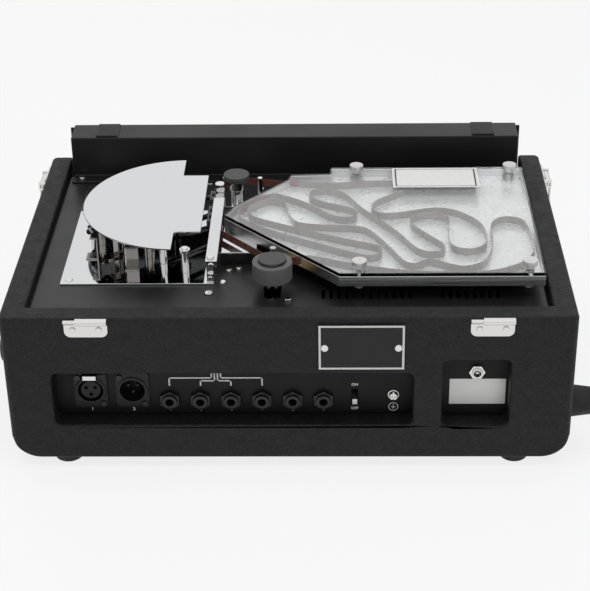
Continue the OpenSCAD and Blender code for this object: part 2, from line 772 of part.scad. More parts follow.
module deck_plate() at_frame() color([0.13, 0.13, 0.13]) {
  difference() {
    union() {
      box_at(-deck_x, deck_x, housing_back + eps, deck_back, deck_low, deck_z);
      for (c = standoff_at) post(c, standoff_d, deck_z - eps, tank_low);
    }
    post(capstan_c, bearing_d + 2 * slip, deck_low - 1, deck_z + 1);
    for (dy = slot_run) post([pinch_c[0], pinch_c[1] + dy], slot_w, deck_low - 1, deck_z + 1);
    box_at(pinch_c[0] - slot_w / 2, pinch_c[0] + slot_w / 2, pinch_c[1] + slot_run[0],
      pinch_c[1] + slot_run[1], deck_low - 1, deck_z + 1);
    post(arm_pivot, arm_pivot_d + 2 * running, deck_low - 1, deck_z + 1);
    for (i = [0 : 11]) box_at(-93.5 + i * 6, -91 + i * 6, 87, 102, deck_low - 1, deck_z + 1);
    for (i = [0 : 7]) box_at(-160 + i * 6, -157.5 + i * 6, 87, 102, deck_low - 1, deck_z + 1);
    for (c = concat(deck_screw_at, flange_screw_at, base_screw_at)) post(c, 3, deck_low - 1, deck_z + 1);
  }
}

deck_screw_at = [
  [72.7, -96], [63.5, -96], [51.5, 78], [47.8, 57.5], [40.1, 54.5], [0.5, 104.5]
];
flange_screw_x = deck_x - 10.2;
flange_screw_y = housing_back + 6.5;
flange_screw_at = [for (x = [1, 0.325, -0.325, -1]) [x * flange_screw_x, flange_screw_y]];
base_screw_at = [[171, 75], [172.5, -39], [64, -86], [52, -86], [28, -86]];

// Machine screws of the deck, base plates, shield, sockets and name plate
module machine_screws() at_frame() color([0.78, 0.78, 0.78]) {
  for (c = deck_screw_at) translate([c[0], c[1], deck_z]) screw(5.6, 1.8, 2.8, 6);
  for (c = flange_screw_at) translate([c[0], c[1], deck_z + sheet_t]) screw(5.6, 1.8, 2.8, 6);
  for (c = base_screw_at) translate([c[0], c[1], base_top]) screw(6, 0.8, 2.8, 6);
  translate([60.5, 75, shield_z + shield_t]) screw(6, 1.6, 2.8, 8);
  translate([60, shield[3], shield_z - 2.6]) rotate([-90, 0, 0]) screw(5, 1.4, 2.4, shield_screw_l);
  translate([61, shield_block_y[1] + 2 * eps, base_top + 3.4]) rotate([-90, 0, 0]) screw(4.4, 1, 2.4, 6);
  for (c = [xlr_f, xlr_m], s = [-1, 1]) {
    translate([c[0] + s * xlr_screw[0], panel_y + xlr_flange_t, c[1] + s * xlr_screw[1]])
      rotate([-90, 0, 0]) screw(5.4, 1.4, 2.9, 8);
  }
  for (x = plate_screw_x) {
    translate([x, half_d + plate_t, plate_mid_z]) rotate([-90, 0, 0]) screw(6.4, 1.4, 2.8, 8);
  }
}

// Polished plates under the heads and under the guide roller
module base_plates() at_frame() color([0.85, 0.86, 0.88]) {
  difference() {
    translate([0, 0, deck_z]) linear_extrude(base_t) {
      rounded_rect(base_rect[0], base_rect[1], base_rect[2], base_rect[3], 1);
      rounded_rect(roller_rect[0], roller_rect[1], roller_rect[2], roller_rect[3], 1);
    }
    for (c = base_screw_at) post(c, 3, deck_z - 1, base_top + 1);
  }
}

module cover_outline() {
  difference() {
    translate(cover_c) circle(cover_r, $fn = 96);
    translate([cover_flat_x - 2 * cover_r, cover_c[1] - 2 * cover_r]) square([2 * cover_r, 4 * cover_r]);
    translate([cover_notch_x - 100, cover_notch_far - 100]) square(100);
    translate([cover_notch_x - 100 - 3, cover_notch_near]) square([100, 100]);
    translate([cover_notch_x - 100, cover_notch_near + 3]) square([100, 100]);
    translate([cover_notch_x - 3, cover_notch_near + 3]) circle(3);
  }
}

module head_cover() at_frame() color([0.8, 0.81, 0.83]) {
  translate([0, 0, cover_z]) linear_extrude(cover_t) cover_outline();
}

module cover_posts() at_frame() color([0.8, 0.8, 0.8]) {
  for (c = cover_post_at) post(c, cover_post_d, base_top, cover_z);
}

// Pivot posts of the pad arms and the folded brackets that hold their springs
bracket_at = [[157, 37, 0], [124, 56, 90], [142, 38, 30]];

module arm_supports() at_frame() color([0.8, 0.8, 0.8]) {
  for (c = pad_pivots) {
    post(c, 9, base_top, pad_low - loose);
    post(c, pad_pivot_d, pad_low - loose - eps, pad_high + 1.4);
    post(c, 7, pad_high + running, pad_high + 2);
  }
  for (b = bracket_at) {
    translate([b[0], b[1], base_top]) rotate(b[2]) {
      translate([-5, -5, 0]) cube([10, 10, 1.2]);
      translate([-5, -5, 0]) cube([1.2, 10, 19]);
      translate([-5, -5, 17.8]) cube([6, 10, 1.2]);
    }
  }
}

// Erase, record and three playback heads, each on its own pedestal
module tape_heads() at_frame() color([0.5, 0.5, 0.52]) {
  for (y = head_y) {
    box_at(base_rect[0] + 0.5, head_face_x - 1.4, y - 3, y + 3, base_top, head_low + eps);
    box_at(head_back_x, head_face_x - 2.5, y - head_w / 2, y + head_w / 2, head_low, head_top);
    intersection() {
      translate([head_face_x - 6, y, head_low]) cylinder(h = head_top - head_low, r = 6);
      box_at(head_face_x - 2.5 - eps, head_face_x + 1, y - head_w / 2, y + head_w / 2, head_low, head_top);
    }
  }
}

module flanged_post(c, d, z0, z1) {
  post(c, d, z0, z1);
  post(c, d + 3.2, z0, tape_z - 0.5);
  post(c, d + 3.2, tape_top + 0.5, z1);
}

module guide_posts() at_frame() color([0.8, 0.8, 0.8]) {
  flanged_post(post_far, post_d, base_top, tape_top + 1.6);
  post(post_near, post_d, base_top, shield_z);
  post(slim_post, slim_post_d, base_top, tape_top + 2.6);
  post(notch_post, 5.4, base_top, tape_top + 4.4);
  post(notch_post, 8.4, tape_top + 1, tape_top + 3.2);
  post(roller_c, 10, base_top, tape_z - 2 - loose);
  post(roller_c, roller_axle_d, base_top, tape_top + 4 - loose);
}

// A bridge over the playback heads, bent down onto a block at its near end
module head_shield() at_frame() color([0.86, 0.87, 0.88]) {
  x0 = shield[0];
  x1 = shield[1];
  difference() {
    union() {
      box_at(x0, x1, shield[2], shield[3], shield_z, shield_z + shield_t);
      box_at(x0, x1, shield[3] - shield_t, shield[3], shield_z - 4.4, shield_z + eps);
      box_at(base_rect[0], x1 - 0.7, shield_block_y[0], shield_block_y[1] + eps, base_top, shield_z + eps);
      box_at(base_rect[0], x1 - 3, shield[2], shield[2] + 4, base_top, shield_z + eps);
    }
    post([60.5, 75], 3, shield_z - 8, shield_z + shield_t + 1);
    bar_y(60, shield_z - 2.6, 2.6, shield[3] - shield_screw_l - slip, shield[3] + 1);
    bar_y(61, base_top + 3.4, 2.6, shield[3] - 9, shield[3] + 1);
  }
}

// A dark block with a polished top plate under the tank's tip
module guide_block() at_frame() color([0.12, 0.12, 0.12]) {
  box_at(block[0] + 1, block[1] - 1, block[2], block[3] - 0.6, deck_z, tank_low - block_plate_t + eps);
  box_at(block[0], block[1], block[2], block[3], tank_low - block_plate_t, tank_low);
}

// ---------- tape tank ----------

module tank_tray() at_frame() color([0.8, 0.81, 0.82]) {
  difference() {
    translate([0, 0, tank_low]) linear_extrude(lid_z - tank_low) polygon(tank_pts);
    translate([0, 0, tank_floor]) linear_extrude(lid_z) polygon(tank_in_pts);
    for (c = thumb_at) post(c, thumb_shank_d + 2 * slip, tank_low - 1, lid_z);
    box_at(-14, 6, tape_in[1] - 1.6, tape_in[1] + 1.2, tank_floor, lid_z + 1);
    box_at(-1, 5, -67, -60.5, tank_floor, lid_z + 1);
  }
  for (c = thumb_at) {
    difference() {
      post(c, 7, tank_floor - eps, lid_z);
      post(c, thumb_shank_d + 2 * slip, tank_floor - 1, lid_z + 1);
    }
  }
}

module tank_lid() at_frame() color([0.8, 0.9, 0.95, 0.35]) {
  difference() {
    translate([0, 0, lid_z]) linear_extrude(lid_t) polygon(tank_pts);
    for (c = thumb_at) post(c, thumb_shank_d + 2 * slip, lid_z - 1, lid_top + 1);
  }
}

module thumb_screws() at_frame() color([0.8, 0.8, 0.8]) {
  for (c = thumb_at) {
    post(c, thumb_shank_d, tank_low - thumb_nut_h - 1, lid_top + eps);
    post(c, thumb_nut_d, tank_low - thumb_nut_h, tank_low);
    post(c, thumb_d - 4, lid_top, lid_top + 2.5);
    post(c, thumb_d, lid_top + 2, lid_top + thumb_h);
  }
}

// ---------- tape ----------

function heading(a, ra, b, rb) =
  atan2(b[1] - a[1], b[0] - a[0]) + asin((ra - rb) / norm(b - a));

// Points round a circle that the tape turns left about, from heading h0 to h1
function turn(c, r, h0, h1, n) =
  [for (i = [0 : n]) let (h = h0 + (h1 - h0) * i / n) c + r * [sin(h), -cos(h)]];

function smooth(p, q, r, s, t) =
  0.5 * ((2 * q) + (r - p) * t + (2 * p - 5 * q + 4 * r - s) * t * t + (3 * q - p - 3 * r + s) * t * t * t);

tape_half = tape_t / 2;
wraps = [
  [tape_out, 0], [roller_c, guide_r + loose + tape_half], [post_far, post_d / 2 + tape_gap + tape_half],
  [post_near, post_d / 2 + tape_gap + tape_half], [capstan_c, capstan_r + loose + tape_half], [tape_in, 0]
];
wrap_heads = [for (i = [0 : len(wraps) - 2])
  heading(wraps[i][0], wraps[i][1], wraps[i + 1][0], wraps[i + 1][1])];
outer_run = [for (i = [1 : len(wraps) - 2])
  each turn(wraps[i][0], wraps[i][1], wrap_heads[i - 1], wrap_heads[i], 6)];
run_knots = concat([outer_run[len(outer_run) - 1], tape_in], tank_route, [tape_out, outer_run[0]]);
route_steps = 3;
inner_run = [for (k = [1 : len(run_knots) - 3], i = [0 : route_steps - 1])
  smooth(run_knots[k - 1], run_knots[k], run_knots[k + 1], run_knots[k + 2], i / route_steps)];
tape_run = concat(outer_run, inner_run, [tape_out]);
run_n = len(tape_run);

function run_normal(i) =
  let (d = tape_run[(i + 1) % run_n] - tape_run[(i + run_n - 1) % run_n]) [d[1], -d[0]] / norm(d);

tape_outer = [for (i = [0 : run_n - 1]) tape_run[i] + run_normal(i) * tape_half];
tape_inner = [for (i = [0 : run_n - 1]) tape_run[i] - run_normal(i) * tape_half];

// Least distance between stretches of the tape that are 8 or more points apart
tape_self_gap = min([for (i = [0 : run_n - 1], j = [i + 8 : run_n - 1])
  if (j - i < run_n - 8) norm(tape_run[i] - tape_run[j])]) - tape_t;
echo(tape_self_gap = tape_self_gap, tape_points = run_n);

module tape_loop() at_frame() color([0.35, 0.3, 0.28]) {
  translate([0, 0, tape_z]) linear_extrude(tape_w) difference() {
    polygon(tape_outer);
    polygon(tape_inner);
  }
}

// ---------- pressure pads ----------

// An arm on its pivot post, with a felt pad for each head that it serves
module pad_arm(k) {
  c = pad_pivots[k];
  n = len(pad_reach[k]);
  y0 = pad_reach[k][0] - 3;
  y1 = pad_reach[k][n - 1] + 3;
  tip = [pad_x + pad_t + pad_bar_t / 2, (y0 + y1) / 2];
  d = tip - c;
  arm_len = norm(d) + pad_tail;
  difference() {
    union() {
      post(c, 10, pad_low, pad_high);
      translate([c[0], c[1], pad_low + 0.4]) rotate(atan2(d[1], d[0])) {
        translate([-pad_tail, -pad_arm_t / 2, 0]) cube([arm_len, pad_arm_t, pad_high - pad_low - 0.8]);
        translate([2 - pad_tail, 0, 0]) cylinder(h = pad_high - pad_low + 3, d = 2.4);
      }
      box_at(pad_x + pad_t, pad_x + pad_t + pad_bar_t, y0, y1, pad_low, pad_high);
      for (y = pad_reach[k]) {
        box_at(pad_x, pad_x + pad_t + 0.5, y - 2.8, y + 2.8, pad_low + 0.2, pad_high - 0.2);
      }
    }
    post(c, pad_pivot_d + 2 * running, pad_low - 1, pad_high + 1);
  }
}

module pad_arm_record() at_frame() color([0.75, 0.75, 0.76]) {
  pad_arm(0);
}

module pad_arm_playback() at_frame() color([0.75, 0.75, 0.76]) {
  pad_arm(1);
}

// ---------- rollers and drive ----------

module guide_roller() at_frame() color([0.75, 0.75, 0.76]) {
  difference() {
    union() {
      post(roller_c, guide_d, tape_z - 2, tape_top + 1.2);
      post(roller_c, guide_knob_d, tape_top + 1.2, tape_top + 6);
    }
    post(roller_c, roller_axle_d + 2 * running, tape_z - 3, tape_top + 4);
  }
}

module capstan() at_frame() color([0.78, 0.78, 0.8]) {
  post(capstan_c, capstan_d, capstan_low, capstan_top);
  post(capstan_c, flywheel_d, belt_z - flywheel_h / 2, belt_z + flywheel_h / 2);
  post(capstan_c, 16, belt_z + flywheel_h / 2 - eps, belt_z + flywheel_h / 2 + 5);
}

module capstan_bearing() at_frame() color([0.7, 0.6, 0.35]) {
  difference() {
    union() {
      post(capstan_c, bearing_d, belt_z + flywheel_h / 2 + 6, deck_z + 5);
      post(capstan_c, bearing_flange_d, deck_z, deck_z + 2);
    }
    post(capstan_c, capstan_d + 2 * running, capstan_low, deck_z + 8);
  }
}

module pinch_roller() at_frame() color([0.3, 0.3, 0.3]) {
  difference() {
    union() {
      post(pinch_c, pinch_d, pinch_z, pinch_z + pinch_h);
      post(pinch_c, pinch_cap_d, pinch_z + pinch_h - eps, pinch_z + pinch_h + pinch_cap_h);
    }
    post(pinch_c, pinch_pin_d + 2 * running, pinch_z - 1, pinch_z + pinch_h - 2);
  }
}

module pinch_arm() at_frame() color([0.7, 0.7, 0.72]) {
  d = [pinch_c[0] - arm_pivot[0], pinch_c[1] - arm_pivot[1]];
  len_arm = norm(d);
  post(pinch_c, pinch_shaft_d, arm_z, pinch_z - 0.4);
  post(pinch_c, pinch_pin_d, pinch_z - 1, pinch_z + pinch_h - 2.4);
  post(pinch_c, arm_w, arm_z, arm_z + arm_t);
  post(arm_pivot, arm_w, arm_z, arm_z + arm_t);
  post(arm_pivot, arm_pivot_d, arm_z, deck_z + 1.5);
  translate([arm_pivot[0], arm_pivot[1], arm_z + arm_boss]) rotate(atan2(d[1], d[0]))
    translate([0, -arm_w / 2 + 1, 0]) cube([len_arm, arm_w - 2, arm_t - 2 * arm_boss]);
}

module motor() at_frame() color([0.45, 0.45, 0.47]) {
  post(motor_c, motor_d, deck_low - motor_h, deck_low);
  post(motor_c, 14, deck_low - motor_h - 3, deck_low - motor_h + eps);
  post(motor_c, motor_shaft_d, belt_z - pulley_h / 2 - 1, deck_low - motor_h);
}

module motor_pulley() at_frame() color([0.72, 0.6, 0.32]) {
  difference() {
    union() {
      post(motor_c, pulley_d, belt_z - pulley_h / 2, belt_z + pulley_h / 2);
      for (z = [belt_z - pulley_h / 2, belt_z + pulley_h / 2 - 1]) post(motor_c, pulley_d + 5, z, z + 1);
    }
    post(motor_c, motor_shaft_d + 2 * running, belt_z - pulley_h, belt_z + pulley_h);
  }
}

// The belt runs straight between the pulley and the flywheel, just clear of both
belt_ra = flywheel_d / 2 + loose;
belt_rb = pulley_d / 2 + loose;
belt_span = norm(motor_c - capstan_c);
belt_axis = atan2(motor_c[1] - capstan_c[1], motor_c[0] - capstan_c[0]);
belt_lean = asin((belt_ra - belt_rb) / belt_span);

module belt_outline(t) {
  ra = belt_ra + t;
  rb = belt_rb + t;
  circle(ra, $fn = 96);
  translate([belt_span, 0]) circle(rb);
  polygon([
    ra * [sin(belt_lean), cos(belt_lean)], [belt_span, 0] + rb * [sin(belt_lean), cos(belt_lean)],
    [belt_span, 0] + rb * [sin(belt_lean), -cos(belt_lean)], ra * [sin(belt_lean), -cos(belt_lean)]
  ]);
}

module drive_belt() at_frame() color([0.05, 0.05, 0.05]) {
  translate([capstan_c[0], capstan_c[1], belt_z - belt_w / 2]) rotate(belt_axis)
    linear_extrude(belt_w) difference() {
      belt_outline(belt_t);
      belt_outline(0);
    }
}

// ---------- inside the case ----------

// A long folded pan on the bottom board, open underneath, with its two spring lines
reverb = [-150, 85, -96, 14];
reverb_h = 32;

module reverb_tank() at_frame() color([0.6, 0.6, 0.6]) {
  difference() {
    box_at(reverb[0], reverb[1], reverb[2], reverb[3], floor_z, floor_z + reverb_h);
    box_at(reverb[0] + sheet_t, reverb[1] - sheet_t, reverb[2] + sheet_t, reverb[3] - sheet_t,
      floor_z - 1, floor_z + reverb_h - sheet_t);
  }
  for (y = [reverb[2] + 35, reverb[3] - 35]) {
    bar_x(y, floor_z + reverb_h / 2, 5, reverb[0] + 1, reverb[1] - 1);
  }
}

board = [105, 185, -88, 96];
board_t = 1.6;
board_z = floor_z + 8;
board_leg_d = 6;
board_leg_in = 6;
chip = [10, 20, 3.4];
chip_pitch = [20, 30];
chip_in = [14, 20];
can_d = 12;
can_h = 20.4;
can_in = [66, 35];
can_pitch = 32;

module circuit_board() at_frame() color([0.05, 0.25, 0.12]) {
  top = board_z + board_t;
  box_at(board[0], board[1], board[2], board[3], board_z, top);
  for (x = [board[0] + board_leg_in, board[1] - board_leg_in]) {
    for (y = [board[2] + board_leg_in, board[3] - board_leg_in]) {
      post([x, y], board_leg_d, floor_z, board_z + eps);
    }
  }
  for (i = [0 : 4], j = [0 : 2]) {
    x = board[0] + chip_in[0] + j * chip_pitch[0];
    y = board[2] + chip_in[1] + i * chip_pitch[1];
    box_at(x, x + chip[0], y, y + chip[1], top - eps, top + chip[2]);
  }
  for (i = [0 : 3]) {
    post([board[0] + can_in[0], board[2] + can_in[1] + i * can_pitch], can_d, top - eps, top + can_h);
  }
}

// ---------- controls ----------

module control_housing() at_frame() color([0.12, 0.12, 0.12]) {
  x = in_x - 4;
  difference() {
    union() {
      box_at(-x, x, -half_d + 0.4, housing_back, housing_top - sheet_t, housing_top);
      box_at(-x, x, housing_back - sheet_t, housing_back, deck_low - 20, housing_top);
      box_at(-x, x, housing_back - eps, housing_back + 13, deck_z, deck_z + sheet_t);
      for (s = [-1, 1]) {
        box_at(s > 0 ? x - sheet_t : -x, s > 0 ? x : -x + sheet_t, panel_front + panel_t, housing_back,
          deck_z + 1, housing_top);
      }
    }
    for (c = flange_screw_at) post(c, 3, deck_z - 1, deck_z + sheet_t + 1);
  }
}

module front_panel() at_frame() color([0.08, 0.08, 0.09]) {
  x = in_x - 0.5;
  difference() {
    box_at(-x, x, panel_front, panel_front + panel_t, floor_z, housing_top - sheet_t);
    for (kx = knob_x) bar_y(kx, lower_row, pot_hole_d, panel_front - 1, panel_front + panel_t + 1);
    bar_y(mode_x, upper_row, mode_hole_d, panel_front - 1, panel_front + panel_t + 1);
    bar_y(toggle_x, upper_row, toggle_hole_d, panel_front - 1, panel_front + panel_t + 1);
    box_at(meter_x - meter_w / 2 + 3, meter_x + meter_w / 2 - 3, panel_front - 1, panel_front + panel_t + 1,
      upper_row - meter_h / 2 + 3, upper_row + meter_h / 2 - 3);
  }
}

module housing_pads() at_frame() color([0.04, 0.04, 0.04]) {
  for (x = housing_pad_x) {
    box_at(x - housing_pad_w / 2, x + housing_pad_w / 2, -half_d + 2, housing_back - sheet_t,
      housing_top, housing_top + housing_pad_t);
  }
}

module vu_meter() at_frame() color([0.1, 0.1, 0.1]) {
  y0 = panel_front - meter_bezel;
  difference() {
    union() {
      upright(y0, panel_front) rounded_rect(meter_x - meter_w / 2, meter_x + meter_w / 2,
        upper_row - meter_h / 2, upper_row + meter_h / 2, 2);
      box_at(meter_x - meter_w / 2 + 3.4, meter_x + meter_w / 2 - 3.4,
        panel_front - eps, panel_front + meter_depth,
        upper_row - meter_h / 2 + 3.4, upper_row + meter_h / 2 - 3.4);
    }
    box_at(meter_x - meter_w / 2 + 5, meter_x + meter_w / 2 - 5, y0 - 1, panel_front + 6,
      upper_row - meter_h / 2 + 5, upper_row + meter_h / 2 - 5);
  }
}

// The needle rests at the low end of its scale
module vu_needle() at_frame() color([0.7, 0.1, 0.08]) {
  translate([needle_pivot[0], panel_front + 2, needle_pivot[1]]) rotate([90, 0, 0]) {
    cylinder(h = 1.2, d = 5, center = true);
    rotate(45) translate([-0.4, 0, -0.4]) cube([0.8, needle_len, 0.8]);
  }
  bar_y(needle_pivot[0], needle_pivot[1], 1.6, panel_front + 1, panel_front + 6 - loose);
}

module pot(x, z, hole_d) {
  bar_y(x, z, pot_d, panel_front + panel_t, panel_front + panel_t + pot_h);
  bar_y(x, z, hole_d - 0.4, panel_front - 0.5, panel_front + panel_t + eps);
}

module control_pots() at_frame() color([0.6, 0.6, 0.6]) {
  difference() {
    union() {
      for (x = knob_x) pot(x, lower_row, pot_hole_d);
      pot(mode_x, upper_row, mode_hole_d);
      pot(toggle_x, upper_row, toggle_hole_d);
    }
    for (x = knob_x) bar_y(x, lower_row, shaft_d + 2 * running, panel_front - 1, panel_front + panel_t + 6);
    bar_y(mode_x, upper_row, shaft_d + 2 * running, panel_front - 1, panel_front + panel_t + 6);
    translate([toggle_x, toggle_pivot_y, upper_row]) {
      toggle_drum(toggle_drum_d + 2 * loose, toggle_drum_w + 2 * loose);
      rotate([90, 0, 0]) cylinder(h = toggle_pivot_y - panel_front + 1, d1 = toggle_drum_d - 0.6, d2 = 7);
    }
  }
}

module knob(x, z, d, h) {
  bar_y(x, z, shaft_d, knob_y - 3, panel_front + panel_t + 5.4);
  difference() {
    union() {
      translate([x, knob_y, z]) rotate([90, 0, 0]) cylinder(h = h, d1 = d, d2 = d * 0.86);
      translate([x, knob_y, z]) rotate([90, 0, 0]) cylinder(h = 2.4, d = d * 1.16);
    }
    box_at(x - 0.6, x + 0.6, knob_y - h - 1, knob_y - h + 0.8, z, z + d);
  }
}

module mode_knob() at_frame() color([0.05, 0.05, 0.05]) {
  knob(mode_x, upper_row, mode_knob_d, knob_h);
}

module input_volume_knob() at_frame() color([0.06, 0.06, 0.06]) {
  knob(knob_x[0], lower_row, knob_d, knob_h);
}

module bass_knob() at_frame() color([0.06, 0.06, 0.06]) {
  knob(knob_x[1], lower_row, knob_d, knob_h);
}

module treble_knob() at_frame() color([0.06, 0.06, 0.06]) {
  knob(knob_x[2], lower_row, knob_d, knob_h);
}

module repeat_rate_knob() at_frame() color([0.06, 0.06, 0.06]) {
  knob(knob_x[3], lower_row, knob_d, knob_h);
}

module intensity_knob() at_frame() color([0.06, 0.06, 0.06]) {
  knob(knob_x[4], lower_row, knob_d, knob_h);
}

module echo_volume_knob() at_frame() color([0.06, 0.06, 0.06]) {
  knob(knob_x[5], lower_row, knob_d, knob_h);
}

module reverb_volume_knob() at_frame() color([0.06, 0.06, 0.06]) {
  knob(knob_x[6], lower_row, knob_d, knob_h);
}

// The toggle leans down at rest, in its off place
// The round foot on which the lever tips
module toggle_drum(d, w) {
  translate([-w / 2, 0, 0]) rotate([0, 90, 0]) cylinder(h = w, d = d);
}

module power_toggle() at_frame() color([0.8, 0.8, 0.8]) {
  translate([toggle_x, toggle_pivot_y, upper_row]) {
    toggle_drum(toggle_drum_d, toggle_drum_w);
    rotate([90 + toggle_lean, 0, 0]) cylinder(h = 15, d1 = 2.6, d2 = 4.6);
    rotate([90 + toggle_lean, 0, 0]) translate([0, 0, 15]) sphere(d = 4.6);
  }
}

// ---------- drawing ----------

case_body();
rubber_feet();
wood_screws();
hinge_leaves();
handle_caps();
handle_strap();
latch_bases();
latch_lever_left();
latch_lever_right();
socket_panels();
xlr_female();
xlr_release_tab();
xlr_male();
phone_jacks();
slide_switch();
slide_switch_lever();
earth_terminal();
dc_inlet();
name_plate();
deck_plate();
machine_screws();
base_plates();
head_cover();
cover_posts();
arm_supports();
tape_heads();
guide_posts();
head_shield();
guide_block();
tank_tray();
tank_lid();
thumb_screws();
tape_loop();
pad_arm_record();
pad_arm_playback();
guide_roller();
capstan();
pinch_roller();
pinch_arm();
motor();
motor_pulley();
drive_belt();
capstan_bearing();
reverb_tank();
circuit_board();
control_housing();
front_panel();
housing_pads();
vu_meter();
vu_needle();
control_pots();
mode_knob();
power_toggle();
input_volume_knob();
bass_knob();
treble_knob();
repeat_rate_knob();
intensity_knob();
echo_volume_knob();
reverb_volume_knob();
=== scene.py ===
import json
import math

import bmesh
import bpy
from mathutils import Matrix, Vector

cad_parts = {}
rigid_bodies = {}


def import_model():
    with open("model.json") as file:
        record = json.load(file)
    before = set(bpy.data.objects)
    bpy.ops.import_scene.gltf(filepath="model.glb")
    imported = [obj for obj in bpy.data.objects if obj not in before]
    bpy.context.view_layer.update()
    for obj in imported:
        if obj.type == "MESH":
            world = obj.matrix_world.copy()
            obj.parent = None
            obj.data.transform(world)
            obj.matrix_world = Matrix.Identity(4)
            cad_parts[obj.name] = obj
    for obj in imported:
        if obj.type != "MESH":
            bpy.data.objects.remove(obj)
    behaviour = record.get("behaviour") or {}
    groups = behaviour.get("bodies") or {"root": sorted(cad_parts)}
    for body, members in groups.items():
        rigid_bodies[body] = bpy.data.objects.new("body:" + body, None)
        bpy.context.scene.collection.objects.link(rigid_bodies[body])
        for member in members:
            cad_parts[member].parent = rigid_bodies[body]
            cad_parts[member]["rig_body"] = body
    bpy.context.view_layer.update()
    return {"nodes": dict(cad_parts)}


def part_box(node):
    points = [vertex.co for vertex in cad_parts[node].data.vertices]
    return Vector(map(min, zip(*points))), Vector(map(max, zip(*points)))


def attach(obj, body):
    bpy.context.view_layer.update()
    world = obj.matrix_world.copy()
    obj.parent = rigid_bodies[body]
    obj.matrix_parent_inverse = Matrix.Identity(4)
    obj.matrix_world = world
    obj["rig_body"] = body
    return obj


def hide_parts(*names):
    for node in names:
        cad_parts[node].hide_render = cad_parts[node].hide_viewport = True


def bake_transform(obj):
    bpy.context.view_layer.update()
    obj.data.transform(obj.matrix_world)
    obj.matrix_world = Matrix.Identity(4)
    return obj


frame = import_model()

# ---------- places ----------
# Places are written in millimetres from the middle of the case, with Z from the floor.
MM = 0.001
case_low, case_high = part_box("case_body")
case_mid = (case_low + case_high) / 2


def at(x, y, z):
    """A point of the case, in metres in the row frame."""
    return Vector((case_mid.x + x * MM, case_mid.y + y * MM, z * MM))


def local(point):
    """A row-frame point in millimetres from the middle of the case."""
    return Vector(((point.x - case_mid.x) / MM, (point.y - case_mid.y) / MM, point.z / MM))


def local_box(node):
    low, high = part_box(node)
    return local(low), local(high)


# ---------- camera ----------
CAMERA_AT = (-35.0, 1173.7, 745.2)
FOCAL_PIXELS = 1630.5
IMAGE_LONG_SIDE = 591
PITCH, YAW, ROLL = (math.radians(a) for a in (29.843, 1.614, 0.977))


def add_camera():
    data = bpy.data.cameras.new("camera")
    data.lens = FOCAL_PIXELS / IMAGE_LONG_SIDE * data.sensor_width
    camera = bpy.data.objects.new("camera", data)
    bpy.context.scene.collection.objects.link(camera)
    ahead = Vector((
        math.sin(YAW) * math.cos(PITCH), -math.cos(YAW) * math.cos(PITCH), -math.sin(PITCH)))
    level = Vector((-math.cos(YAW), -math.sin(YAW), 0))
    down = ahead.cross(level)
    right = math.cos(ROLL) * level + math.sin(ROLL) * down
    up = math.sin(ROLL) * level - math.cos(ROLL) * down
    turn = Matrix((right, up, -ahead)).transposed().to_4x4()
    camera.matrix_world = Matrix.Translation(at(*CAMERA_AT)) @ turn
    bpy.context.scene.camera = camera


# ---------- material tools ----------
def shader(name, colour, rough, metal=0.0, specular=0.5):
    """A material with a plain Principled shader; the other tools add its detail."""
    material = bpy.data.materials.new(name)
    material.use_nodes = True
    bsdf = material.node_tree.nodes["Principled BSDF"]
    bsdf.inputs["Base Color"].default_value = (*colour, 1)
    bsdf.inputs["Roughness"].default_value = rough
    bsdf.inputs["Metallic"].default_value = metal
    bsdf.inputs["Specular IOR Level"].default_value = specular
    return material


def principled(material):
    return material.node_tree.nodes["Principled BSDF"]


def node(material, kind, inputs=(), **settings):
    made = material.node_tree.nodes.new(kind)
    for key, value in settings.items():
        setattr(made, key, value)
    for key, value in dict(inputs).items():
        if isinstance(value, bpy.types.NodeSocket):
            material.node_tree.links.new(value, made.inputs[key])
        else:
            made.inputs[key].default_value = value
    return made


def place(material, stretch=(1, 1, 1)):
    """The surface's own coordinates in metres, stretched."""
    source = node(material, "ShaderNodeTexCoord")
    mapped = node(material, "ShaderNodeMapping", {
        "Vector": source.outputs["Object"], "Scale": stretch})
    return mapped.outputs["Vector"]


def noise(material, size_mm, detail=4.0, rough=0.55, stretch=(1, 1, 1)):
    made = node(material, "ShaderNodeTexNoise", {
        "Vector": place(material, stretch), "Scale": 1000.0 / size_mm, "Detail": detail,
        "Roughness": rough})
    return made.outputs["Fac"]


def cells(material, size_mm, smooth=0.6, warp=0.0):
    """Distance to the nearest of scattered points: pebbled leather when it is used as height."""
    vector = place(material)
    if warp:
        wobble = node(material, "ShaderNodeTexNoise", {
            "Vector": vector, "Scale": 700.0 / size_mm, "Detail": 2.0})
        shifted = node(material, "ShaderNodeMix", {0: warp, 4: vector, 5: wobble.outputs["Color"]},
                       data_type="VECTOR")
        vector = shifted.outputs[1]
    made = node(material, "ShaderNodeTexVoronoi", {
        "Vector": vector, "Scale": 1000.0 / size_mm, "Smoothness": smooth}, feature="SMOOTH_F1")
    return made.outputs["Distance"]


def spread(material, value, low, high, source_low=0.3, source_high=0.7):
    made = node(material, "ShaderNodeMapRange", {
        "Value": value, "From Min": source_low, "From Max": source_high,
        "To Min": low, "To Max": high})
    return made.outputs["Result"]


def blend_colours(material, value, first, second):
    made = node(material, "ShaderNodeMix", {0: value, 6: (*first, 1), 7: (*second, 1)},
                data_type="RGBA")
    return made.outputs[2]


def blend_mixed(material, value, first, second):
    made = node(material, "ShaderNodeMix", {0: value, 6: first, 7: second}, data_type="RGBA")
    return made.outputs[2]


def feed(material, socket, value):
    material.node_tree.links.new(value, principled(material).inputs[socket])


def bump(material, height, distance_mm, strength=1.0, under=None):
    inputs = {"Height": height, "Distance": distance_mm * MM, "Strength": strength}
    if under is not None:
        inputs["Normal"] = under
    made = node(material, "ShaderNodeBump", inputs)
    feed(material, "Normal", made.outputs["Normal"])
    return made.outputs["Normal"]


